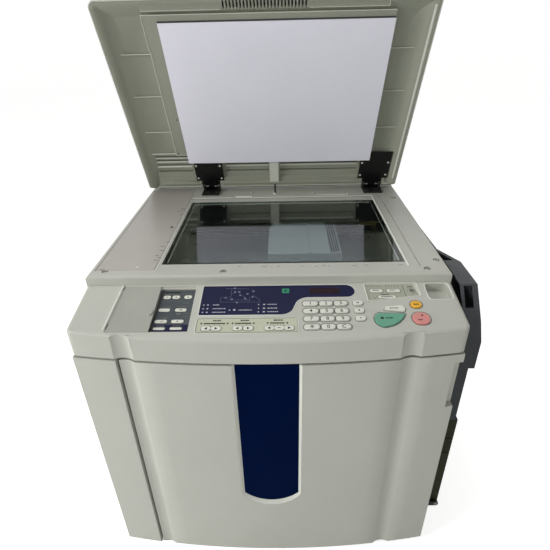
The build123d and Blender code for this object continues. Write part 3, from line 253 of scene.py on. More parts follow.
# rubbed edges: where the surface is convex, broken by noise
rubbedEdges = newGroup(
    "rubbedEdges", {"Width": 0.53, "Breakup": 60.0}, ("Mask",), {
        "shape": ("NewGeometry",), "noise": ("TexNoise", {"Detail": 4.0, "Roughness": 0.7}),
        "edge": ("MapRange", {"From Max": 0.62}), "both": ("Math", {}, times)},
    ["shape.Pointiness > edge.Value", "ins.Width > edge.From Min", "spot.Object > noise.Vector",
     "ins.Breakup > noise.Scale", "edge.Result > both.0", "noise.Fac > both.1", "both.0 > outs.Mask"])

# rolled or brushed metal: noise drawn out along one way, as height and as a tone
drawnMetal = newGroup(
    "drawnMetal", {"Scale": 400.0, "Stretch": (0.04, 1.0, 1.0)}, ("Height", "Mask"), {
        "draw": ("VectorMath", {}, times), "noise": ("TexNoise", {"Detail": 4.0, "Roughness": 0.6}),
        "wide": ("TexNoise", {"Scale": 14.0, "Detail": 3.0})},
    ["spot.Object > draw.0", "ins.Stretch > draw.1", "draw.0 > noise.Vector", "spot.Object > wide.Vector",
     "ins.Scale > noise.Scale", "noise.Fac > outs.Height", "wide.Fac > outs.Mask"])


def mouldedPlastic(name, colour, drift=0.06, rough=0.42, grain=1300.0, depth=0.25, dust=0.25,
                   dustColour=(190, 186, 172), rub=0.25, gloss=0.5):
    # tone drift, rubbed edges and dust over a moulded grain
    tones = {"Light": tone(colour), "Dark": tone(colour, 1 - drift), "Scale": 5.0, "Mottle": 160.0}
    return newMaterial(name, {"Specular IOR Level": gloss}, {
        "tone": (toneDrift, tones), "edges": (rubbedEdges,), "rubbed": ("Math", {1: rub}, times),
        "worn": ("Mix", {"B": tone(colour, 1.25, 0.02)}, colours),
        "dusty": ("Mix", {"B": tone(dustColour)}, colours),
        "lying": (dustFall, {"Scale": 22.0, "Amount": dust}),
        "skin": (mouldGrain, {"Scale": grain, "Cells": 0.45})}, [
        "edges.Mask > rubbed.0", "tone.Color > worn.A", "rubbed.0 > worn.Factor", "worn.Result > dusty.A",
        "lying.Mask > dusty.Factor", "dusty.Result > shader.Base Color"], (rough, 0.07, 7.0), depth)


def sheetMetal(name, colour, rough=0.35, metallic=1.0, stretch=(0.04, 1.0, 1.0), spots=0.25):
    # drawn marks in the height, slow stains in colour and roughness
    return newMaterial(name, {"Metallic": metallic}, {
        "skin": (drawnMetal, {"Scale": 500.0, "Stretch": stretch}),
        "mix": ("Mix", {"A": tone(colour), "B": tone(colour, 1 - spots)}, colours)},
        ["skin.Mask > mix.Factor", "mix.Result > shader.Base Color"], (rough, 0.1, 14.0), 0.12)


def clearGlass(name, colour, index):
    # clear float glass with a green cast; only its grease marks vary
    return newMaterial(name, {"Base Color": colour, "Transmission Weight": 1.0, "IOR": index}, {}, [],
                       (0.03, 0.02, 5.0))


def glossyFilm(name, colour, rough=0.3, drift=0.12, gloss=0.15):
    # printed film: slow tone, smeared gloss and a very fine emboss
    tones = {"Light": tone(colour), "Dark": tone(colour, 1 - drift), "Scale": 9.0, "Mottle": 300.0}
    return newMaterial(name, {"Specular IOR Level": gloss}, {
        "tone": (toneDrift, tones), "skin": (mouldGrain, {"Scale": 1800.0, "Cells": 0.2})},
        ["tone.Color > shader.Base Color"], (rough, 0.08, 16.0), 0.06)


finishTable = (   # maker, what its finishes share, colours
    # painted shade: the slide cover's finish is a darker copy of the body plastic, standing in for the shade that
    # falls on it
    (mouldedPlastic, dict(gloss=0.35), {"bodyPlastic": (200, 201, 191), "sliderPlastic": (172, 173, 163)}),
    (mouldedPlastic, dict(drift=0.1, rough=0.4, dust=0.1, gloss=0.3), {"linerPlastic": (154, 157, 142)}),
    (mouldedPlastic, dict(rough=0.36, grain=1600.0, dust=0.2, gloss=0.4), {"platePlastic": (188, 183, 176)}),
    (mouldedPlastic, dict(drift=0.04, rough=0.5, depth=0.05, dust=0.0, rub=0.0), {"padSheet": (242, 241, 252)}),
    (mouldedPlastic, dict(drift=0.3, rough=0.9, grain=700.0, depth=0.9, dust=0.0), {"padFoam": (66, 66, 68)}),
    (mouldedPlastic, dict(rough=0.35, depth=0.1, dust=0.1, gloss=0.4), {"keyGrey": (232, 233, 221)}),
    (mouldedPlastic, dict(rough=0.32, depth=0.1, dust=0.1, gloss=0.35),
     {"keyGreen": (104, 170, 142), "keyPink": (228, 146, 140)}),
    (mouldedPlastic, dict(rough=0.32, depth=0.1, dust=0.05, gloss=0.35), {"keyYellow": (250, 188, 50)}),
    (mouldedPlastic, dict(drift=0.2, rough=0.5, depth=0.5, dust=0.08, gloss=0.2, rub=0.12),
     {"trayPlastic": (70, 73, 76)}),
    (mouldedPlastic, dict(drift=0.25, rough=0.55, depth=0.5, dust=0.05, gloss=0.15, rub=0.12),
     {"trayShade": (50, 54, 36)}),
    (mouldedPlastic, dict(drift=0.3, rough=0.45, depth=0.4, dust=0.1, dustColour=(120, 116, 108), gloss=0.3),
     {"blackPlastic": (20, 20, 22)}),
    (mouldedPlastic, dict(drift=0.3, rough=0.34, depth=0.12, dust=0.1, dustColour=(110, 108, 100), rub=0.4,
                          gloss=0.3), {"lacquerBlack": (15, 15, 16)}),
    (mouldedPlastic, dict(drift=0.25, rough=0.8, grain=800.0, depth=0.6), {"rubberBlack": (26, 26, 26)}),
    (mouldedPlastic, dict(rough=0.5, depth=0.2, gloss=0.2), {"opticGrey": (158, 164, 168)}),
    (mouldedPlastic, dict(rough=0.5, depth=0.3, dust=0.05, gloss=0.2), {"opticDark": (22, 24, 24)}),
    # painted highlight: a pale plastic for rims, ridges, lips and bevels, standing in for the light that catches
    # their edges
    (mouldedPlastic, dict(rough=0.38, depth=0.12, dust=0.05, gloss=0.4), {"rimLight": (226, 228, 218)}),
    # painted highlight: a pale copy of the liner plastic for the liner's beads, folds and tab, standing in for the
    # light along their edges
    (mouldedPlastic, dict(rough=0.4, depth=0.12, dust=0.05, gloss=0.3), {"linerLight": (206, 209, 196)}),
    (mouldedPlastic, dict(rough=0.5, depth=0.12, dust=0.05, gloss=0.2), {"linerShade": (96, 98, 88)}),
    (glossyFilm, dict(rough=0.5, gloss=0.01), {"inlayBlue": (1, 19, 58)}),
    (glossyFilm, dict(rough=0.4, gloss=0.1), {"filmNavy": (31, 34, 66)}),
    (glossyFilm, dict(rough=0.45, gloss=0.12), {"filmGrey": (84, 90, 94)}),
    (glossyFilm, dict(rough=0.5, gloss=0.2), {"filmPale": (206, 209, 184), "filmGreen": (180, 184, 164)}),
    (glossyFilm, dict(rough=0.5, gloss=0.1), {
        "inkWhite": (200, 202, 208), "inkPale": (126, 130, 150), "inkDark": (44, 46, 44),
        "inkShade": (92, 94, 88), "inkGrey": (122, 124, 116)}),
    (glossyFilm, dict(rough=0.3), {"ledGreen": (58, 152, 112)}),
    (glossyFilm, dict(rough=0.15, gloss=0.2), {"lcdDark": (44, 27, 34)}),
    (sheetMetal, {}, {"zincSheet": (178, 180, 180)}),
    (sheetMetal, dict(rough=0.3, stretch=(1.0, 0.04, 1.0)), {"drumScreen": (150, 150, 154)}),
    (sheetMetal, dict(rough=0.28), {"screwSteel": (160, 160, 156)}),
    (sheetMetal, dict(rough=0.4, metallic=0.15, spots=0.1), {"screwBright": (222, 222, 212)}),
    (sheetMetal, dict(rough=0.4, metallic=0.15), {"motorPlated": (206, 172, 92)}),
    (clearGlass, dict(index=1.5), {"floatGlass": (0.86, 0.95, 0.92, 1)}),
)
finishes = {name: make(name, colour, **shared) for make, shared, rows in finishTable
            for name, colour in rows.items()}
print("stage 3: finishes,", len(finishes))


# A shape's faces in groups that touch each other
def looseParts(shape):
    done = set()
    for first in shape.faces:
        if first in done:
            continue
        done.add(first)
        part, queue = [], [first]
        while queue:
            face = queue.pop()
            part.append(face)
            for edge in face.edges:
                for other in edge.link_faces:
                    if other not in done:
                        done.add(other)
                        queue.append(other)
        yield part


def cornersOf(part):
    return list(dict.fromkeys(v for face in part for v in face.verts))


# A CAD node's mesh with its double points merged
def weldedShape(mesh):
    shape = bmesh.new()
    shape.from_mesh(mesh)
    bmesh.ops.remove_doubles(shape, verts=shape.verts, dist=2e-6)
    return shape


def smoothUpTo(mesh, degrees):
    mesh.polygons.foreach_set("use_smooth", [True] * len(mesh.polygons))
    mesh.set_sharp_from_angle(angle=math.radians(degrees))


# The node's flat faces are joined again and its edges rounded; rim is in mm, pick chooses solids by
# their middle, and second is another finish with the level that it lies under
def dressNode(node, name, finish, rim, pick=None, second=None):
    look = {"flat": 0.4, "sharp": 32, "steps": 2}   # degrees, degrees, segments
    mesh = nodes[node].data.copy()
    mesh.name = name
    shape = weldedShape(mesh)
    if pick:
        for part in list(looseParts(shape)):
            corners = cornersOf(part)
            if not pick(sum((v.co for v in corners), Vector()) / len(corners)):
                bmesh.ops.delete(shape, geom=corners, context="VERTS")
    bmesh.ops.dissolve_limit(shape, angle_limit=math.radians(look["flat"]), verts=shape.verts,
                             edges=shape.edges)
    if second:
        bmesh.ops.bisect_plane(shape, geom=shape.verts[:] + shape.edges[:] + shape.faces[:],
                               plane_co=(0, 0, second[1]), plane_no=(0, 0, 1))
    shape.to_mesh(mesh)
    shape.free()
    if "custom_normal" in mesh.attributes:
        mesh.attributes.remove(mesh.attributes["custom_normal"])
    mesh.materials.clear()
    mesh.materials.append(finishes[finish])
    if second:
        mesh.materials.append(finishes[second[0]])
        middles = np.empty(len(mesh.polygons) * 3)
        mesh.polygons.foreach_get("center", middles)
        mesh.polygons.foreach_set("material_index", (middles[2::3] < second[1]).astype(np.int32))
    piece = bpy.data.objects.new(name, mesh)
    scene.collection.objects.link(piece)
    smoothUpTo(mesh, look["sharp"])
    if rim:
        bevel = piece.modifiers.new("rim", "BEVEL")
        bevel.width, bevel.segments = rim * mm, look["steps"]
        bevel.limit_method, bevel.angle_limit = "ANGLE", math.radians(look["sharp"])
        bevel.use_clamp_overlap = False
        bevel.harden_normals = True
        bevel.miter_outer = "MITER_ARC"
    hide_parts(node)
    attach(piece, bodyOf[node])


dressed = {}
for finish, rim, members in (   # rim in mm
        ("bodyPlastic", 0.8, "left_cover right_cover rear_cover panel_housing lid_cover feed_tray"),
        ("bodyPlastic", 1.0, "front_strip front_door"), ("bodyPlastic", 0.5, "scanner_top"),
        # painted shade: the slide cover takes the darker copy of the body plastic
        ("sliderPlastic", 0.4, "cover_slider"), ("inlayBlue", 0.3, "door_inlay"), ("keyGrey", 0.3, "membrane_keys"),
        ("floatGlass", 0.0, "exposure_glass"), ("platePlastic", 0.3, "scale_plate"),
        ("linerPlastic", 0.5, "lid_liner"), ("lacquerBlack", 0.3, "lid_hinge_plates hinge_brackets"),
        ("opticGrey", 0.4, "lens_cover"), ("opticDark", 0.3, "lamp_carriage mirror_carriage"),
        ("zincSheet", 0.3, "scanner_pan front_frame_plate rear_frame_plate"), ("zincSheet", 0.4, "base_plate"),
        ("screwSteel", 0.2, "scan_rails hinge_pins"), ("drumScreen", 0.3, "print_drum"),
        ("motorPlated", 0.3, "scan_motor"), ("motorPlated", 0.5, "main_motor"),
        ("rubberBlack", 0.5, "pressure_roller pickup_roller"), ("rubberBlack", 1.0, "base_feet"),
        ("blackPlastic", 0.2, "lid_sensor_rod"), ("blackPlastic", 0.8, "master_unit"),
        ("blackPlastic", 0.4, "drum_carrier power_inlet power_switch"),
        ("blackPlastic", 0.5, "ink_bottle receiving_guide_front receiving_guide_rear feed_guide_front "
                              "feed_guide_rear"),
        ("trayPlastic", 0.5, "receiving_tray"), ("keyGreen", 0.6, "start_key"), ("keyYellow", 0.6, "reset_key"),
        ("keyPink", 0.8, "stop_key")):
    dressed.update({node: (finish, rim) for node in members.split()})
keyNodes = [n for n in nodes if n.startswith("key_")]
dressed.update({key: ("keyGrey", 0.8) for key in keyNodes})

# the tray's lower flap is darker than its upper part
twoTone = {"receiving_tray": ("trayShade", 0.329)}
for node, (finish, rim) in dressed.items():
    words = node.split("_")
    name = words[0] + "".join(w.capitalize() for w in words[1:]) + "Dressed"
    dressNode(node, name, finish, rim, second=twoTone.get(node))
print("stage 4: dressed nodes,", len(dressed))


# A new piece from arrays of points and faces, on the body of a node; its slot is looked up but not given to the
# piece
def makePiece(name, points, faces, finish, node, slot=None, smooth=None):
    mesh = bpy.data.meshes.new(name)
    mesh.from_pydata(np.asarray(points).tolist(), [], [list(f) for f in faces])
    mesh.materials.append(finishes[finish])
    mesh.validate()
    if smooth:
        smoothUpTo(mesh, smooth)
    piece = bpy.data.objects.new(name, mesh)
    scene.collection.objects.link(piece)
    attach(piece, bodyOf[node])
    slot or slotOf[node]
    return piece


# Control panel: x from the middle of the body and distance ahead of the lip, both in mm
def onPanel(x, ahead, lift):
    # the slope carries a point down as it comes forward, and its lift goes along the slope's normal
    x, ahead = np.broadcast_arrays(np.asarray(x, float), np.asarray(ahead, float))
    return np.stack([middleX + x * mm, lipY - (ahead + lift * lean) * mm,
                     lipZ + (lift * rise - ahead * math.tan(panelSlope)) * mm], -1)


def onTop(x, y, lift):
    # x from the middle of the body and y in the frame, on the scanner's top
    x, y, lift = np.broadcast_arrays(*(np.asarray(a, float) for a in (x, y, lift)))
    return np.stack([middleX + x * mm, y * mm, glassLevel + lift * mm], -1)


def roundBox(x0, x1, a0, a1, r, steps=1):
    # quarter turns about the four corners' centres, taken in order round the box
    turn = np.linspace(0, math.pi / 2, steps + 1)
    angle = np.concatenate([turn + i * math.pi / 2 for i in range(4)])
    centreX = np.repeat([x1 - r, x0 + r, x0 + r, x1 - r], steps + 1)
    centreA = np.repeat([a1 - r, a1 - r, a0 + r, a0 + r], steps + 1)
    return np.stack([centreX + r * np.cos(angle), centreA + r * np.sin(angle)], 1)


def oval(x, a, rx, ra, count=20):
    # an ellipse about a centre
    angle = np.linspace(0, 2 * math.pi, count, endpoint=False)
    return np.stack([x + rx * np.cos(angle), a + ra * np.sin(angle)], 1)


def stroke(x0, a0, x1, a1, width):
    # a straight line as a thin four-cornered strip
    way = np.array([x1 - x0, a1 - a0], float)
    side = np.array([-way[1], way[0]]) / np.hypot(*way) * width / 2
    start, end = np.array([x0, a0]), np.array([x1, a1])
    return np.stack([start + side, start - side, end - side, end + side])


def greekedRow(x0, x1, ahead, height, seed):
    # a row of short bars of uneven length, like print that is too small to read
    draw = np.random.default_rng(seed)
    widths = draw.uniform(1.1, 2.6, 80)
    starts = x0 + np.concatenate([[0], np.cumsum(widths + 0.75)[:-1]])
    keep = starts + widths < x1
    half = height * 0.65
    return [roundBox(a, a + w, ahead - half, ahead + half, 0.2)
            for a, w in zip(starts[keep], widths[keep])]


def boxes(*rows):
    return [roundBox(*row) for row in rows]


def ovals(*rows):
    return [oval(*row) for row in rows]


def strokes(*rows):
    return [stroke(*row) for row in rows]


def greeked(*rows):
    return [bar for row in rows for bar in greekedRow(*row)]


def slabs(outlines, low, high, place):
    # each outline is a thin prism: its ring at the low level, its ring at the high level, and walls
    points, faces, base = [], [], 0
    for outline in outlines:
        foot = place(outline[:, 0], outline[:, 1], low)
        head = place(outline[:, 0], outline[:, 1], high)
        turn = np.cross(foot - foot.mean(0), np.roll(foot, -1, 0) - foot.mean(0)).sum(0)
        if turn @ (head - foot).mean(0) < 0:
            foot, head = foot[::-1], head[::-1]
        n = len(outline)
        ring = np.arange(n)
        ahead = (ring + 1) % n
        faces += (np.stack([ring, ahead, ahead + n, ring + n], 1) + base).tolist()
        faces += [(base + n + ring).tolist(), (base + ring[::-1]).tolist()]
        points += [foot, head]
        base += 2 * n
    return np.concatenate(points), faces


def printMarks(name, finish, outlines, lift, node, place=onPanel, thick=0.06, slot=None):
    return makePiece(name, *slabs(outlines, lift - 0.02, lift + thick, place), finish, node, slot)


def meshPoints(mesh):
    points = np.empty(len(mesh.vertices) * 3)
    mesh.vertices.foreach_get("co", points)
    return points.reshape(-1, 3)


def letterMesh(text, size, thick=0.08):
    # an outline of type as points and faces in its own plane, centred on its box
    curve = bpy.data.curves.new("letter", "FONT")
    curve.body, curve.size, curve.extrude, curve.resolution_u = text, size, thick / 2, 3
    curve.offset = size * 0.01
    letter = bpy.data.objects.new("letter", curve)
    scene.collection.objects.link(letter)
    bpy.context.view_layer.update()
    mesh = bpy.data.meshes.new_from_object(letter)
    points = meshPoints(mesh)
    faces = [list(p.vertices) for p in mesh.polygons]
    bpy.data.objects.remove(letter)
    bpy.data.meshes.remove(mesh)
    points[:, :2] -= (points[:, :2].max(0) + points[:, :2].min(0)) / 2
    return points, faces


def dressFilms():
    look = {"rim": 0.1, "bandStart": 80,
            "films": {"display": ("filmNavy", 19.0), "band": ("filmPale", -30.0),   # finish, middle x
                      "bay": ("filmGrey", -154.0), "side": ("filmGreen", 211.0)}}

    def filmAt(middle):
        x, ahead = (middle.x - middleX) / mm, (lipY - middle.y) / mm
        nearest = min(look["films"], key=lambda k: abs(x - look["films"][k][1]))
        if nearest in ("bay", "side"):
            return nearest
        return "display" if ahead < look["bandStart"] else "band"
    for key, (finish, middle) in look["films"].items():
        dressNode("panel_films", key + "Film", finish, look["rim"], pick=lambda m: filmAt(m) == key)


def dressDisplay():
    # a line drawing of rollers in a case, rows of marks, one lamp and one small screen
    look = {
        "case": ((-72, 12, -31, 13.5, 0.5), (-61, 14, -61, 33, 0.4), (-61, 33, -78, 35, 0.4),
                 (-78, 35, -78, 44, 0.4), (-78, 45, -13, 46, 0.4), (-27, 14, -24, 24, 0.4),
                 (-24, 30, -12, 41, 0.4), (-12, 41, -12, 47, 0.4), (-61, 27, -47, 18, 0.4),
                 (-66, 40, -30, 41, 0.4), (-41, 30, -33, 40, 0.4), (-29, 44, -29, 33, 0.4)),
        "rollers": ((-55, 21), (-45.5, 29), (-33.3, 26), (-23.4, 19.5), (-69.8, 35), (-59.2, 38), (-37, 37),
                    (-50, 46.5), (-56, 11.8), (-47.5, 21.5), (-24.5, 33.5)),
        "rows": ((51.6, -78.0), (60.2, -66.5), (68.3, -66.5)),   # distance ahead, end of the left print
        "lamp": (25.2, 37.4, 14.2, 25.0, 1.2, 4), "lampMark": (29.5, 33.0, 17.5, 21.7, 0.8, 4),
        "screen": (72.3, 122.8, 12.8, 28.0, 0.6, 4),
    }
    rows = []
    for i, (ahead, end) in enumerate(look["rows"]):
        rows += boxes((-105.6, -103.4, ahead - 1, ahead + 1, 0.3), (-14.6, -12.4, ahead - 1, ahead + 1, 0.3))
        rows += ovals((-97.5, ahead, 1.6, 1.3, 12), (-4.5, ahead, 2.0, 1.5, 12))
        rows += greeked((-89.0, end, ahead, 1.5, 10 + i), (1.0, 18.8, ahead, 1.5, 20 + i))
    rows += boxes((-62, -59.5, 62.8, 65, 0.3)) + ovals((-53, 63.5, 2.2, 2.0, 12))
    rows += greeked((-46.0, -24.0, 64.0, 1.5, 30))
    rollers = ovals(*((x, a, 1.9, 1.9) for x, a in look["rollers"]))
    printMarks("displayDrawing", "inkPale", strokes(*look["case"]) + rollers, 0.0, "panel_films")
    printMarks("displayMarks", "inkWhite", rows, 0.0, "panel_films")
    printMarks("masterLamp", "ledGreen", boxes(look["lamp"]), 0.0, "panel_films", thick=0.25)
    printMarks("masterLampMark", "filmNavy", boxes(look["lampMark"]), 0.25, "panel_films")
    printMarks("displayScreen", "lcdDark", boxes(look["screen"]), 0.0, "panel_films", thick=0.1)


def dressBand():
    # a scale over each set of arrow keys
    look = {
        "keyTop": 0.8, "scale": 93, "line": 2.3, "ticks": (95.4, 97.0), "print": (87.0, 2.2),
        "scales": ((-99, -65, -85, -71), (-49.5, -23.7, -41, -25), (5.9, 29.0, 11.7, 27)),
        "arrows": {-94.5: -1, -78.5: 1, -45.0: -1, -28.0: 1, 4.8: -1, 36.0: 1},   # x: way that it points
        "arrow": (2.0, 2.6, 101.2, 106.6, 103.9), "dash": (18.0, 22.6, 103.1, 104.3, 0.2),
        "border": ((-110.2, 48.7, 82.3, 82.9, 0.2), (-110.2, -109.6, 83.0, 111.0, 0.2),
                   (-110.2, 48.7, 111.3, 111.9, 0.2)),
    }
    level, (t0, t1), (textAhead, textHeight) = look["scale"], look["ticks"], look["print"]
    dark = []
    for x0, x1, textStart, textEnd in look["scales"]:
        dark += strokes((x0, level, x1, level + 0.1, look["line"]))
        dark += ovals((x0 - 3.8, level - 0.1, 1.7, 1.6, 10), (x1 + 4.0, level, 1.7, 1.6, 10))
        dark += boxes(*((x, x + 0.8, t0, t1, 0.1) for x in np.linspace(x0 + 1, x1 - 2, 5)))
        dark += greeked((textStart, textEnd, textAhead, textHeight, int(100 + x0)))
    printMarks("bandMarks", "inkDark", dark, 0.0, "panel_films")
    back, tip, a0, a1, a2 = look["arrow"]
    arrows = [np.array([(x - back * w, a0), (x - back * w, a1), (x + tip * w, a2)])
              for x, w in look["arrows"].items()]
    printMarks("bandArrows", "inkDark", arrows + boxes(look["dash"]), look["keyTop"], "membrane_keys")
    printMarks("bandBorder", "inkGrey", boxes(*look["border"]), 0.0, "panel_films")


def dressBay():
    # the folded-away panel
    look = {
        "floor": -6.4, "keyTop": 0.8, "navy": (-184.0, -123.6, 88.5, 105.6, 0.3),
        "bar": (-178.1, -149.6, 12.6, 15.4, 0.3),
        "keyOvals": ((-144.0, 82.0, 1.0, 1.6, 10), (-156.0, 26, 1.2, 1.2, 10), (-135.5, 26, 1.2, 1.2, 10),
                     (-171.5, 26, 1.1, 1.1, 10)),
        "lines": ((-182, 34.8, -126, 35.0, 0.4), (-151, 21, -146, 31, 0.4)),
        "print": ((-163, -147, 8.0, 1.4, 41), (-178, -150, 19.0, 1.1, 42), (-141, -130, 18.6, 1.2, 43),
                  (-143, -131, 40.0, 1.2, 44), (-174, -160, 48.6, 1.3, 45), (-148, -131, 47.8, 1.3, 46),
                  (-138, -128, 64.0, 1.2, 47), (-138, -128, 70.5, 1.2, 48), (-176, -160, 73.6, 1.3, 49),
                  (-177, -163, 91.5, 1.3, 50), (-150, -136, 91.2, 1.3, 51)),
    }
    floor = look["floor"]
    onKeys = strokes((-171.5, 83.5, -166.5, 80.5, 0.9)) + ovals(*look["keyOvals"])
    onKeys += boxes((-145.5, -140.0, 55.6, 57.2, 0.2))
    pale = strokes(*look["lines"]) + greeked(*look["print"]) + boxes((-149, -142, 63, 67, 0.3))
    printMarks("bayNavy", "filmNavy", boxes(look["navy"]), floor, "panel_films")
    printMarks("bayBar", "inkDark", boxes(look["bar"]), floor, "panel_films")
    printMarks("bayKeyMarks", "inkDark", onKeys, floor + look["keyTop"], "membrane_keys")
    printMarks("bayMarks", "inkGrey", pale, floor + 0.06, "panel_films")


def dressSide():
    # rows of small lamps, marks beside the keys, one round dark key
    look = {"floor": -1.4, "keyTop": -0.6, "lampRows": ((172.3, 193), (202.3, 223)), "lamp": (1.6, 8.0, 9.8)}
    wide, a0, a1 = look["lamp"]
    dots = boxes(*((x, x + wide, a0, a1, 0.3) for ends in look["lampRows"] for x in np.linspace(*ends, 5)))
    marks = strokes((231.2, 5.5, 232.8, 36, 0.7)) + ovals((179.8, 37.5, 1.0, 1.0, 10))
    marks += greeked((192, 208, 29.6, 1.5, 61), (239.5, 248, 11.5, 1.8, 62))
    onKeys = greeked((179, 191, 20.0, 1.6, 63), (208, 220, 20.0, 1.6, 64), (191, 210, 35.6, 1.6, 65))
    printMarks("sideLampRow", "inkDark", dots, look["floor"], "panel_films")
    printMarks("sideMarks", "inkDark", marks, look["floor"], "panel_films")
    printMarks("sideKeyMarks", "inkDark", onKeys, look["keyTop"], "membrane_keys")
    printMarks("roundKeyCap", "inkGrey", ovals((244.3, 21.5, 4.6, 4.3, 28)), look["keyTop"], "membrane_keys",
               thick=0.15)


def dressKeys():
    look = {
        "keyTop": 2.2, "columns": (71.7, 97.2, 121.3), "rows": (51.8, 68.8, 85.8, 103.0),
        "digitSize": 9.6, "starScale": 1.5,
        "symbols": {"1": "1", "2": "2", "3": "3", "4": "4", "5": "5", "6": "6", "7": "7", "8": "8", "9": "9",
                    "star": "*", "0": "0", "clear": "C"},
        "diamond": ((179.6, 86.5), (183.0, 83.6), (186.4, 86.5), (183.0, 89.4)),
    }
    for i, (key, symbol) in enumerate(look["symbols"].items()):
        x, ahead = look["columns"][i % 3], look["rows"][i // 3]
        points, faces = letterMesh(symbol, look["digitSize"] * (look["starScale"] if symbol == "*" else 1))
        placed = onPanel(x + points[:, 0], ahead - points[:, 1], look["keyTop"])
        placed += (points[:, 2] * mm)[:, None] * np.array([0, -lean, rise])
        makePiece("digit" + key.capitalize(), placed, faces, "inkDark", "key_" + key)
    column = greeked((147, 152.5, 51.6, 1.8, 71), (199, 214, 65.0, 1.6, 72))
    column += ovals((149.5, 68.8, 1.6, 1.4, 12), (149.5, 85.8, 1.2, 1.2, 12))
    printMarks("columnMarks", "inkDark", column, look["keyTop"], "membrane_keys")
    for name, node, marks in (
            ("startMark", "start_key", [np.array(look["diamond"])] + greeked((188.4, 200.5, 86.6, 2.0, 73))),
            ("resetMark", "reset_key", greeked((239.4, 247.4, 57.0, 2.0, 74))),
            ("stopMark", "stop_key", greeked((238.6, 247.0, 91.0, 2.2, 75)) + ovals((246.8, 81.8, 2.0, 1.4, 14)))):
        printMarks(name, "inkDark", marks, look["keyTop"], node)


dressFilms()
dressDisplay()
dressBand()
dressBay()
dressSide()
dressKeys()
print("stage 5: control panel")


# The lid is drawn shut and turned open about its hinge
def opened(points):
    # turned about the hinge line by the opening angle, front edge up
    c, s = math.cos(lidOpen), math.sin(lidOpen)
    y, z = points[..., 1] - hinge[1], points[..., 2] - hinge[2]
    return np.stack([points[..., 0], hinge[1] + y * c + z * s, hinge[2] - y * s + z * c], -1)


def onLid(x, y, height):
    # x from the middle of the body, y in the frame and height over the glass, with the lid shut
    return opened(onTop(x, y, height))


def closedSheet(face, foot, turned=False):
    # two grids of points as the face and the foot of a solid, with walls between their edges
    rows, columns = face.shape[:2]
    index = np.arange(rows * columns).reshape(rows, columns)
    quads = np.stack([index[:-1, :-1], index[1:, :-1], index[1:, 1:], index[:-1, 1:]], -1).reshape(-1, 4)
    rim = np.concatenate([index[:, 0], index[-1, 1:], index[-2::-1, -1], index[0, -2:0:-1]])
    n = index.size
    walls = np.stack([rim, np.roll(rim, -1), np.roll(rim, -1) + n, rim + n], 1)
    faces = np.concatenate([quads[:, ::-1], quads + n, walls])
    points = np.concatenate([face.reshape(-1, 3), foot.reshape(-1, 3)])
    return points, (faces[:, ::-1] if turned else faces).tolist()


def padCushion():
    look = {
        "x": (-200.15, 239.65), "y": (-151.4, 178.4), "face": 0.9, "edge": 1.5, "back": 5.9,
        "sheet": 1.1,      # the white sheet over the foam
        "crown": 0.35,     # how far the middle stands out
        "overlap": 1.6,    # how far the foam shows past the sheet at the front edge
    }
    x0, x1, y0, y1 = *look["x"], *look["y"]
    thick = look["sheet"]

    def crowned(name, y0, front, edge, back, crown):
        # a grid over the pad: the middle stands out, the edge rounds off, and a wall goes to its back
        u, v = np.meshgrid(np.linspace(-1, 1, 61), np.linspace(-1, 1, 47), indexing="ij")
        soft = (1 - u ** 10) * (1 - v ** 10)
        wave = np.sin(3.1 * u + 1.7 * v) * 0.12 + np.sin(5.3 * v - 2.2 * u) * 0.08
        x = (x0 + x1) / 2 + u * (x1 - x0) / 2
        y = (y0 + y1) / 2 + v * (y1 - y0) / 2
        face = edge - soft * (edge - front) - soft * crown * (1 - u * u) * (1 - v * v) - soft * wave * crown
        piece = makePiece(name, *closedSheet(onLid(x, y, face), onLid(x, y, back)), name, "lid_pad", smooth=40)
        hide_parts("lid_pad")
        return piece
    foam = crowned("padFoam", y0, look["face"] + thick, look["edge"] + thick, look["back"], 0.0)
    sheet = crowned("padSheet", y0 + look["overlap"], look["face"], look["edge"], look["edge"] + thick - 0.05,
                    look["crown"])


padCushion()
print("stage 6: pad")


def tube(rings, closed=False, turned=False):
    # rings of points joined one to the next, with a cap on each open end
    n, m = rings.shape[:2]
    index = np.arange(n * m).reshape(n, m)
    if closed:
        index = np.concatenate([index, index[:1]])
    beside = np.roll(index, -1, 1)
    faces = np.stack([index[:-1], index[1:], beside[1:], beside[:-1]], -1).reshape(-1, 4).tolist()
    if not closed:
        faces += [index[0].tolist(), index[-1][::-1].tolist()]
    return rings.reshape(-1, 3), [f[::-1] for f in faces] if turned else faces


def carried(path, profile, up, closed=False):
    # each ring of the profile (mm, side and height) stands square to the path's direction
    way = (np.roll(path, -1, 0) - np.roll(path, 1, 0)) if closed else np.gradient(path, axis=0)
    way /= np.linalg.norm(way, axis=1, keepdims=True)
    side = np.cross(way, np.broadcast_to(np.asarray(up, float), way.shape))
    side /= np.linalg.norm(side, axis=1, keepdims=True)
    over = np.cross(side, way)
    profile = np.asarray(profile, float) * mm
    return tube(path[:, None] + profile[None, :, :1] * side[:, None] + profile[None, :, 1:] * over[:, None],
                closed)


def joined(pieces):
    # several (points, faces) pairs as one
    points, faces, base = [], [], 0
    for p, f in pieces:
        points.append(p)
        faces += [[i + base for i in face] for face in f]
        base += len(p)
    return np.concatenate(points), faces


def halfRound(width, height, foot=0.4, steps=6):
    # half an ellipse over a foot that goes into the surface
    angle = np.linspace(0, math.pi, steps + 1)
    arch = np.stack([np.cos(angle) * width / 2, np.sin(angle) * height], 1)
    return np.concatenate([[(width / 2, -foot)], arch, [(-width / 2, -foot)]])


def flatBand(width, height):
    # a thin ribbon lying on the surface
    w = width / 2
    return np.array([(w, -0.05), (w, height), (-w, height), (-w, -0.05)])


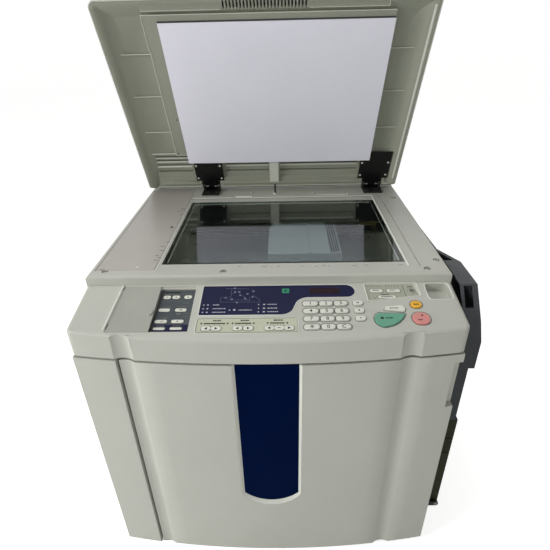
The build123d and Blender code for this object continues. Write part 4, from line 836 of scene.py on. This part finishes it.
def rounded(corners, radius, steps=5):
    # a closed line in the plane, each corner turned by a curve of the second degree
    corners = np.asarray(corners, float)
    t = np.linspace(0, 1, steps + 1)[:, None]
    out = []
    for i, here in enumerate(corners):
        before, after = corners[i - 1] - here, corners[(i + 1) % len(corners)] - here
        start, end = (here + way / np.hypot(*way) * radius for way in (before, after))
        out.append((1 - t) ** 2 * start + 2 * t * (1 - t) * here + t ** 2 * end)
    return np.concatenate(out)


def welt(corners, width, height, level, place, up, closed=False):
    # a half-round bead along a line on a surface
    line = np.asarray(corners, float)
    return carried(place(line[:, 0], line[:, 1], level), halfRound(width, height), up, closed)


panelUp = (0, -lean, rise)
topUp = (0, 0, 1)
lidDown = tuple(opened(np.array([0, 0, 0.0])) - opened(np.array([0, 0, 1.0])))


def beads(name, finish, node, place, up, rows, closed=False):
    # welts as one piece, from rows of corners, width, height and level
    makePiece(name, *joined([welt(*row, place, up, closed) for row in rows]), finish, node, smooth=50)


def sunkScrew(x, y, level, place, radius, rise):
    # a disc from a square grid; its dome falls to the rim and a cross is sunk where an arm is near
    half = np.array([0, 0.14, 0.2, 0.54, 0.6, 0.82, 1.0])
    t = np.concatenate([-half[:0:-1], half])
    u, v = np.meshgrid(t, t, indexing="ij")
    discU, discV = u * np.sqrt(1 - v * v / 2), v * np.sqrt(1 - u * u / 2)
    dome = rise * np.sqrt(np.clip(1 - 0.85 * (discU ** 2 + discV ** 2), 0, 1))
    cross = ((abs(u) < 0.17) & (abs(v) < 0.57)) | ((abs(v) < 0.17) & (abs(u) < 0.57))
    px, py = x + discU * radius, y + discV * radius
    return closedSheet(place(px, py, level + dome - cross * rise * 0.9), place(px, py, level - 0.5), turned=True)


def makeScrews():
    look = {
        "top": ((-289.0, -175.5), (-78.0, -180.5), (304.0, -147.5), (279.0, -178.5), (-240.0, 197.0),
                (301.0, 183.0)),
        "plate": ((-236.0, -160.0),), "ledge": ((-53.0, 232.0), (104.0, 225.0), (191.0, 212.0)),
        "hinge": ((-186.0, 191.0), (-127.0, 192.0), (-186.0, 231.0), (-127.0, 232.0),
                  (224.3, 190.0), (288.0, 190.0), (224.3, 229.0), (288.0, 229.0)),
        # level, radius and rise of the heads
        "topHead": (-1.4, 3.7, 1.5), "ledgeHead": (0.0, 4.2, 1.6), "plateHead": (0.1, 3.0, 0.8),
        "hingeHead": (0.0, 2.6, 1.1), "plateLevel": 6.3, "slot": "sheet_steel",
        # painted shade: places, shift, radius, level, width and height of the dark rings round the heads, which
        # stand in for the shade in the screw pockets, and their points
        "seats": (("top", 0.0, 4.35, -1.2, 1.2, 0.08, 24), ("top", 0.3, 5.3, 0.0, 0.7, 0.06, 24),
                  ("ledge", 0.0, 4.9, 0.0, 0.9, 0.08, 28)),
    }

    def heads(places, head, place=onTop):
        level, radius, rise = look[head]
        return [sunkScrew(x, y, level, place, radius, rise) for x, y in look[places]]
    # painted shade: a dark cross over each top screw's sunk cross
    cross = strokes(*((x + a, y + b, x - a, y - b, 1.1) for x, y in look["top"]
                      for a, b in ((2.3, 1.0), (-1.0, 2.3))))
    printMarks("screwCrosses", "inkDark", cross, 0.04, "scanner_top", onTop, slot=look["slot"])
    tops = heads("top", "topHead") + heads("ledge", "ledgeHead") + heads("plate", "plateHead")
    makePiece("topScrews", *joined(tops), "screwBright", "scanner_top", look["slot"], smooth=40)
    # painted shade: dark rings in and round each screw pocket
    rings = [carried(onTop(*oval(x - shift, y + shift, r, r, count).T, level), flatBand(width, height), topUp, True)
             for places, shift, r, level, width, height, count in look["seats"] for x, y in look[places]]
    makePiece("screwSeats", *joined(rings), "inkDark", "scanner_top")
    under = lambda x, y, height: onLid(x, y, look["plateLevel"] - height)
    points, faces = joined(heads("hinge", "hingeHead", under))
    makePiece("hingeScrews", points, [f[::-1] for f in faces], "screwBright", "lid_hinge_plates", look["slot"],
              smooth=40)


makeScrews()
print("stage 7: screws")


def dressLid():
    look = {
        "frame": 6.0, "left": -228.2, "front": -162.4, "rear": 156.4, "right": 226.0,
        "beam": 3.0, "beamRear": -170.6, "rimLevel": 0.5,
        "ribsLeft": (-87.5, 4.5, 94.5, 156.5), "ribsRight": (-89.5, 1.5, 91.5), "rib": 12.0,
        "bands": ((-296.0, -198.0, ((172, 3), (184, 4), (199, 6), (222, 12))),
                  (-112.0, -6.0, ((198, 5), (224, 16))), (22.0, 214.0, ((198, 5), (224, 16)))),
        "tab": (7.0, 22.0, 182.0, 248.0), "tabLevel": 4.6,    # middle, width, and its two ends
        "ceiling": 15.0, "rearEdge": 254.4,
        "rearRuns": ((-296.0, -179.7), (-132.3, 231.2), (281.8, 296.0)),   # between the hinge necks
        "holes": ((-206.5, 58.5, 1.5, 1.5, 14), (-222.0, 152.0, 1.9, 1.9, 14)),
    }
    left, front, rear, right = (look[k] for k in ("left", "front", "rear", "right"))
    f, beam, beamRear, rib = (look[k] for k in ("frame", "beam", "beamRear", "rib"))
    edge = look["rearEdge"]
    # painted highlight: the beads along the liner's frame, beam, ribs and rear edge are pale
    beads("linerWelts", "linerLight", "lid_liner", onLid, lidDown, [
        ([(left, front), (left, -98.0), (left + 1.8, -92.0), (left + 1.8, rear)], 1.5, 0.7, f),
        ([(left, front), (right + 13, front)], 1.6, 0.7, f),
        ([(left + 3, beamRear), (-81.0, beamRear)], 1.0, 0.5, beam),
        ([(81.0, beamRear), (right - 2, beamRear)], 1.0, 0.5, beam),
        ([(right - 2, beamRear), (right - 2, -186.0)], 1.0, 0.5, beam),
        ([(left + 1.8, rear), (-200.0, rear)], 1.2, 0.5, f),
        ([(-296.0, rear + 1.0), (left, rear + 1.0)], 1.6, 0.7, rib),
        *(([(-293.0, y), (left, y)], 1.6, 0.7, rib) for y in look["ribsLeft"]),
        *(([(240.5, y), (293.0, y)], 1.4, 0.6, rib) for y in look["ribsRight"]),
        *(([(x0, edge), (x1, edge)], 1.6, 0.2, look["rimLevel"] + 0.3) for x0, x1 in look["rearRuns"])])
    # painted highlight: a pale band on the rim's inner slope
    beads("linerRim", "rimLight", "lid_liner", onLid, lidDown,
          [([(306.5, -172.0), (306.5, 236.0)], 4.5, 0.3, look["rimLevel"])])

    # two small dark holes in the frame
    under = lambda x, y, height: onLid(x, y, f - height)
    makePiece("linerHoles", *slabs(ovals(*look["holes"]), 0.02, 0.1, under), "inkDark", "lid_liner")

    # folded bands behind the frame, left of the hinge and between the two, as pale beads for their painted
    # highlight and dark strips in front of them for their painted shade
    bands = [(x0, x1, y, width) for x0, x1, rows in look["bands"] for y, width in rows]
    beads("linerSteps", "linerLight", "lid_liner", onLid, lidDown,
          [([(x0, y), (x1, y)], width, 1.3, look["ceiling"]) for x0, x1, y, width in bands])
    shade = [carried(onLid(np.array([x0, x1]), np.array([y, y]) - width / 2 - 2.6, look["ceiling"]),
                     flatBand(4.6, 0.3), lidDown) for x0, x1, y, width in bands]
    makePiece("linerSunk", *joined(shade), "linerShade", "lid_liner")
    x, width, y0, y1 = look["tab"]
    makePiece("sensorTab", *carried(onLid(np.array([x, x]), np.array([y0, y1]), look["tabLevel"]),
                                    flatBand(width, 0.5), lidDown), "linerLight", "lid_liner")


dressLid()
print("stage 8: lid")


def roundWire(radius, count):
    angle = np.linspace(0, 2 * math.pi, count, endpoint=False)
    return np.stack([np.cos(angle), np.sin(angle)], 1) * radius


def hingeSprings():
    # each coil goes round the hinge line and along it
    look = {"radius": 8.3, "wire": 0.75, "turns": 5, "slot": "sheet_steel",
            "spans": ((-171.0, -163.0), (-149.0, -141.0), (240.0, 248.0), (265.0, 273.0))}
    t = np.linspace(0, 1, look["turns"] * 16 + 1)
    angle = t * look["turns"] * 2 * math.pi
    y, z = (hinge[1] + look["radius"] * mm * np.cos(angle), hinge[2] + look["radius"] * mm * np.sin(angle))
    coils = [carried(np.stack([middleX + (x0 + (x1 - x0) * t) * mm, y, z], 1), roundWire(look["wire"], 6),
                     (1, 0, 0)) for x0, x1 in look["spans"]]
    makePiece("hingeSprings", *joined(coils), "screwSteel", "hinge_brackets", look["slot"], smooth=60)


hingeSprings()
print("stage 9: hinges")


def dressTop():
    look = {
        "plate": 0.22,     # height of the scale plate's face over the glass level
        "plateEdge": -307.5, "plateLip": -198.3, "dash": 1.5,
        "marks": ((-213, 128, 9), (-211, 119, 7), (-217, 110, 5), (-209, 91, 7), (-207, -56, 7), (-213, -76, 8),
                  (-211, -94, 9), (-214, -116, 7), (-208, -124, 5), (-213, -134, 8)),
        "pointer": ((-214.0, 13.0), (-206.5, 18.5), (-214.0, 24.0)),
        "frontMarks": ((-53, 5), (-10, 9), (6, 3), (16, 6), (60, 4), (84, 5), (97, 6), (108, 3), (150, 9), (173, 5),
                       (232, 9)),
        "strips": (([(-196.0, 199.0), (249.0, 199.0)], 5.0, 0.9, 0.0),   # line, width, height, level
                   ([(249.8, -168.0), (249.8, 201.5)], 3.6, 1.0, 0.0)),
        "ridges": (([(-92.0, 206.0), (-50.0, 206.0)], 3.0, 1.6, 0.0),
                   ([(110.0, 211.0), (186.0, 211.0)], 1.4, 0.8, 0.0)),
        "slots": ((-98, -88, 203.2, 205.0, 0.5), (-200.0, 246.0, 193.6, 195.2, 0.3)),
    }
    plate, half, x = look["plate"], look["dash"] / 2, look["plateEdge"]
    dashes = boxes(*((x, x + w, y - half, y + half, 0.2) for x, y, w in look["marks"]))
    printMarks("plateMarks", "inkDark", dashes + [np.array(look["pointer"])], plate, "scale_plate", onTop)
    front = boxes(*((x, x + w, -164.0 - i % 3, -162.8 - i % 3, 0.2) for i, (x, w) in enumerate(look["frontMarks"])))
    printMarks("frontMarks", "inkShade", front, 0.0, "scanner_top", onTop)
    # painted highlight: pale strips and ridges along the glass's edges and on the rear ledge
    beads("glassStrips", "rimLight", "scanner_top", onTop, topUp, look["strips"])
    beads("ledgeRidges", "rimLight", "scanner_top", onTop, topUp, look["ridges"])
    printMarks("ledgeSlots", "inkDark", boxes(*look["slots"]), 0.0, "scanner_top", onTop)
    printMarks("plateEdge", "inkDark", strokes((x, -174, x, 196, 0.8)), plate, "scale_plate", onTop)
    # painted highlight: a pale bead along the scale plate's lip
    beads("plateLip", "rimLight", "scale_plate", onTop, topUp,
          [([(look["plateLip"], -174.0), (look["plateLip"], 200.0)], 1.4, 0.4, plate)])


dressTop()
print("stage 10: scanner top")


def insideScanner():
    # the bed's harness and its clips, seen through the glass
    look = {"floor": -80.0, "wire": 1.4, "slits": (133.5, 138.8, 144.1, 149.4), "slit": 2.6,
            "bars": (178.0, 160.0, 142.0),
            "wires": ((0.0, 120.0, 172.0, 236.0), (1.3, 132.0, 150.0, 232.0), (2.1, -20.0, -190.0, -60.0)),
            "rod": 4.2, "slot": "black_steel"}
    lensLow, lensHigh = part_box("lens_cover")
    y0, y1 = lensLow.y / mm + 6, lensHigh.y / mm - 6
    low, slot = look["floor"], look["slot"]
    printMarks("lensSlits", "opticDark", strokes(*((x, y0, x, y1, look["slit"]) for x in look["slits"])),
               (lensHigh.z - glassLevel) / mm + 0.05, "lens_cover", onTop)
    t = np.linspace(0, 1, 40)
    wires = [carried(onTop(x0 + (x1 - x0) * t, y + 10 * np.sin(5 * t + phase), low + 4 + 3 * np.sin(7 * t)),
                     roundWire(look["wire"], 6), topUp) for phase, y, x0, x1 in look["wires"]]
    makePiece("scannerWires", *joined(wires), "opticDark", "scanner_pan", slot, smooth=60)
    beads("scannerBars", "opticDark", "scanner_pan", onTop, topUp,
          [([(-205.0, y), (250.0, y)], 6.0, 3.0, low + 0.5) for y in look["bars"]])
    t = np.linspace(0, 1, 60)
    rod = carried(onTop(-186 + 2 * t, -118 + 46 * t, low + 5), roundWire(look["rod"], 10), topUp)
    makePiece("scannerRod", *rod, "opticDark", "scanner_pan", slot, smooth=40)


insideScanner()
print("stage 11: under the glass")


def panelTrim():
    look = {
        "rim": (1.3, 0.6), "ridge": (4.0, 2.2), "display": (-110.8, 149.3, 5.4, 75.6), "bevel": 1.5,
        "step": (68.75, 36.6, 23.0), "nub": (-188.6, 70.5, 3.4, 3.4, 24),
        "frames": (([(-111.2, 81.2), (50.8, 81.2), (50.4, 113.4), (-111.2, 113.4)], 5.0),   # corners, their radius
                   ([(166.0, 1.4), (255.4, 1.4), (257.8, 34.2), (168.0, 46.0)], 4.0),
                   ([(268.6, 3.8), (310.2, 3.8), (310.2, 44.2), (268.6, 44.2)], 7.0)),
        "slits": ((-248.6, 4.0, -249.2, 14.0, 1.0), (-252.6, 92.0, -253.2, 102.0, 1.0)),
    }
    # the display's raised rim: straight top, round right end, and a step down to the left by two
    # arcs, each level at its outer end, whose sag is turn - sqrt(turn^2 - run^2)
    left, right, top, foot = look["display"]
    stepX, stepA, lowRight = look["step"]
    corner = look["bevel"]
    dx, da = (stepX - lowRight) / 2, (foot - stepA) / 2 / rise
    turn = (dx * dx + da * da) / (2 * da)
    run = np.linspace(0, dx, 8)
    sag = (turn - np.sqrt(turn ** 2 - run ** 2)) * rise
    r = (stepA - top) / 2
    cap = np.linspace(-math.pi / 2, math.pi / 2, 15)
    display = np.concatenate([
        [(left + corner, top)],
        np.stack([right - r / rise + r / rise * np.cos(cap), (top + stepA) / 2 + r * np.sin(cap)], 1),
        np.stack([stepX - run, stepA + sag], 1)[:-1], np.stack([lowRight + run, foot - sag], 1)[::-1],
        [(left + corner, foot), (left, foot - corner), (left, top + corner)]])
    outlines = [display] + [rounded(corners, radius) for corners, radius in look["frames"]]
    # painted highlight: the raised rims round the display and the key frames, the slider's ridge and its nub are
    # pale
    beads("panelRims", "rimLight", "panel_housing", onPanel, panelUp,
          [(outline, *look["rim"], 0.0) for outline in outlines], closed=True)
    beads("sliderRidge", "rimLight", "panel_housing", onPanel, panelUp,
          [([(-251.4, 3.0), (-255.8, 104.6)], *look["ridge"], 0.0)])
    printMarks("sliderNub", "rimLight", ovals(look["nub"]), -0.4, "cover_slider", thick=1.3)
    printMarks("sliderSlits", "inkDark", strokes(*look["slits"]), 0.0, "panel_housing")


def keyGaps():
    # painted shadow: a dark line round each key, standing for its running gap and the shadow at its lower right, so
    # it is shifted that way; its outermost point along each direction, moved out a little
    look = {"grow": 0.8, "line": (0.9, 0.05), "shift": (0.25, 0.25),
            "shortGrow": 0.7, "shortLine": (0.8, 0.05), "shortShift": (0.2, 0.15),
            "side": -1.4, "bay": -6.4,   # levels of the sunk floors
            "shade": ((-182.6, 3.6), (-184.0, 59.7), (-184.8, 78.1), (-185.0, 94.4), (-187.6, 106.0),
                      (-181.0, 106.0), (-179.6, 60.0), (-179.4, 3.6))}
    angle = np.linspace(0, 2 * math.pi, 32, endpoint=False)
    way = np.stack([np.cos(angle), np.sin(angle)], 1)

    def ring(points, grow, line, shift):
        # the highest point of the solid says how far over the panel its foot stands
        flat = np.stack([(points[:, 0] - middleX) / mm, (lipY - points[:, 1]) / mm], 1)
        hull = flat[np.argmax(flat @ way.T, axis=0)] + way * grow + np.array(shift)
        lift = (((points[:, 2] - lipZ) / mm + flat[:, 1] * math.tan(panelSlope)) * rise).max()
        level = 0.0 if lift > 0 else (look["side"] if lift > -1.2 else look["bay"])
        return carried(onPanel(hull[:, 0], hull[:, 1], level + 0.02), flatBand(*line), panelUp, True)
    rings = [ring(meshPoints(nodes[node].data), look["grow"], look["line"], look["shift"])
             for node in keyNodes + ["start_key", "stop_key", "reset_key"]]
    shape = weldedShape(nodes["membrane_keys"].data)
    for part in list(looseParts(shape)):
        corners = np.array([v.co[:] for v in cornersOf(part)])
        rings.append(ring(corners, look["shortGrow"], look["shortLine"], look["shortShift"]))
    shape.free()
    makePiece("keyGaps", *joined(rings), "inkShade", "panel_housing")
    # painted shadow: a black strip in the sunk bay along the slide cover's edge
    printMarks("sliderShade", "lacquerBlack", [np.array(look["shade"])], look["bay"], "panel_housing", thick=0.12)


panelTrim()
keyGaps()
print("stage 12: panel trim")


def inlayRim():
    look = {"halfWidth": 51.5, "sideHeight": 320.0, "arcDrop": 22.0, "margin": 5.0, "depth": 4.4, "bow": 25.5}
    doorLow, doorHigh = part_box("front_door")
    top = doorHigh.z / mm - 0.2
    corner = top - look["sideHeight"]
    halfBody = (skinHigh.x - skinLow.x) / 2 / mm
    curve = (halfBody ** 2 + look["bow"] ** 2) / (2 * look["bow"])

    def track(margin, sink, count=41, side=12):
        # down one side, along the foot, which is part of a circle, and up the other; the front is
        # bowed as a circle through the body's two corners and moved back by the sink
        w = look["halfWidth"] + margin
        drop = look["arcDrop"] + margin * 2
        turn = (w * w + drop * drop) / (2 * drop)
        wall = np.linspace(top, corner, side)
        foot = np.linspace(-w, w, count)[1:-1]
        x = np.concatenate([np.full(side, -w), foot, np.full(side, w)])
        z = np.concatenate([wall, corner - drop + turn - np.sqrt(turn ** 2 - foot ** 2), wall[::-1]])
        y = doorLow.y / mm + curve - np.sqrt(curve ** 2 - x ** 2) + sink
        return np.stack([middleX + x * mm, y * mm, z * mm], 1)
    margin, depth = look["margin"], look["depth"]
    rows = [track(margin + 0.02, 0.25), track(margin - 0.5, 0.05), track(0.5, depth - 0.8),
            track(-0.2, depth - 0.9), track(-0.2, depth), track(margin + 0.02, depth)]
    # painted highlight: the bevel round the inlay is pale on every side
    makePiece("inlayBevel", *tube(np.stack(rows, 1), turned=True), "rimLight", "front_door", smooth=30)


def doorSeam():
    # painted shade: a dark block on the fixed side of the upright seam, standing in for the shade in the gap
    look = {"x": (-241.88, -241.45), "y": (-303.5, -284.0), "below": 1.5, "low": 12.0}
    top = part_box("front_door")[1].z / mm - look["below"]
    (x0, x1), (y0, y1) = look["x"], look["y"]
    corners = np.array([(x, y, z) for z in (look["low"], top) for x, y in ((x0, y0), (x1, y0), (x1, y1), (x0, y1))])
    faces = [(3, 2, 1, 0), (4, 5, 6, 7), (0, 1, 5, 4), (1, 2, 6, 5), (2, 3, 7, 6), (3, 0, 4, 7)]
    makePiece("seamLining", corners * mm + np.array([middleX, 0, 0]), faces, "blackPlastic", "front_strip")


inlayRim()
doorSeam()
print("stage 13: door")
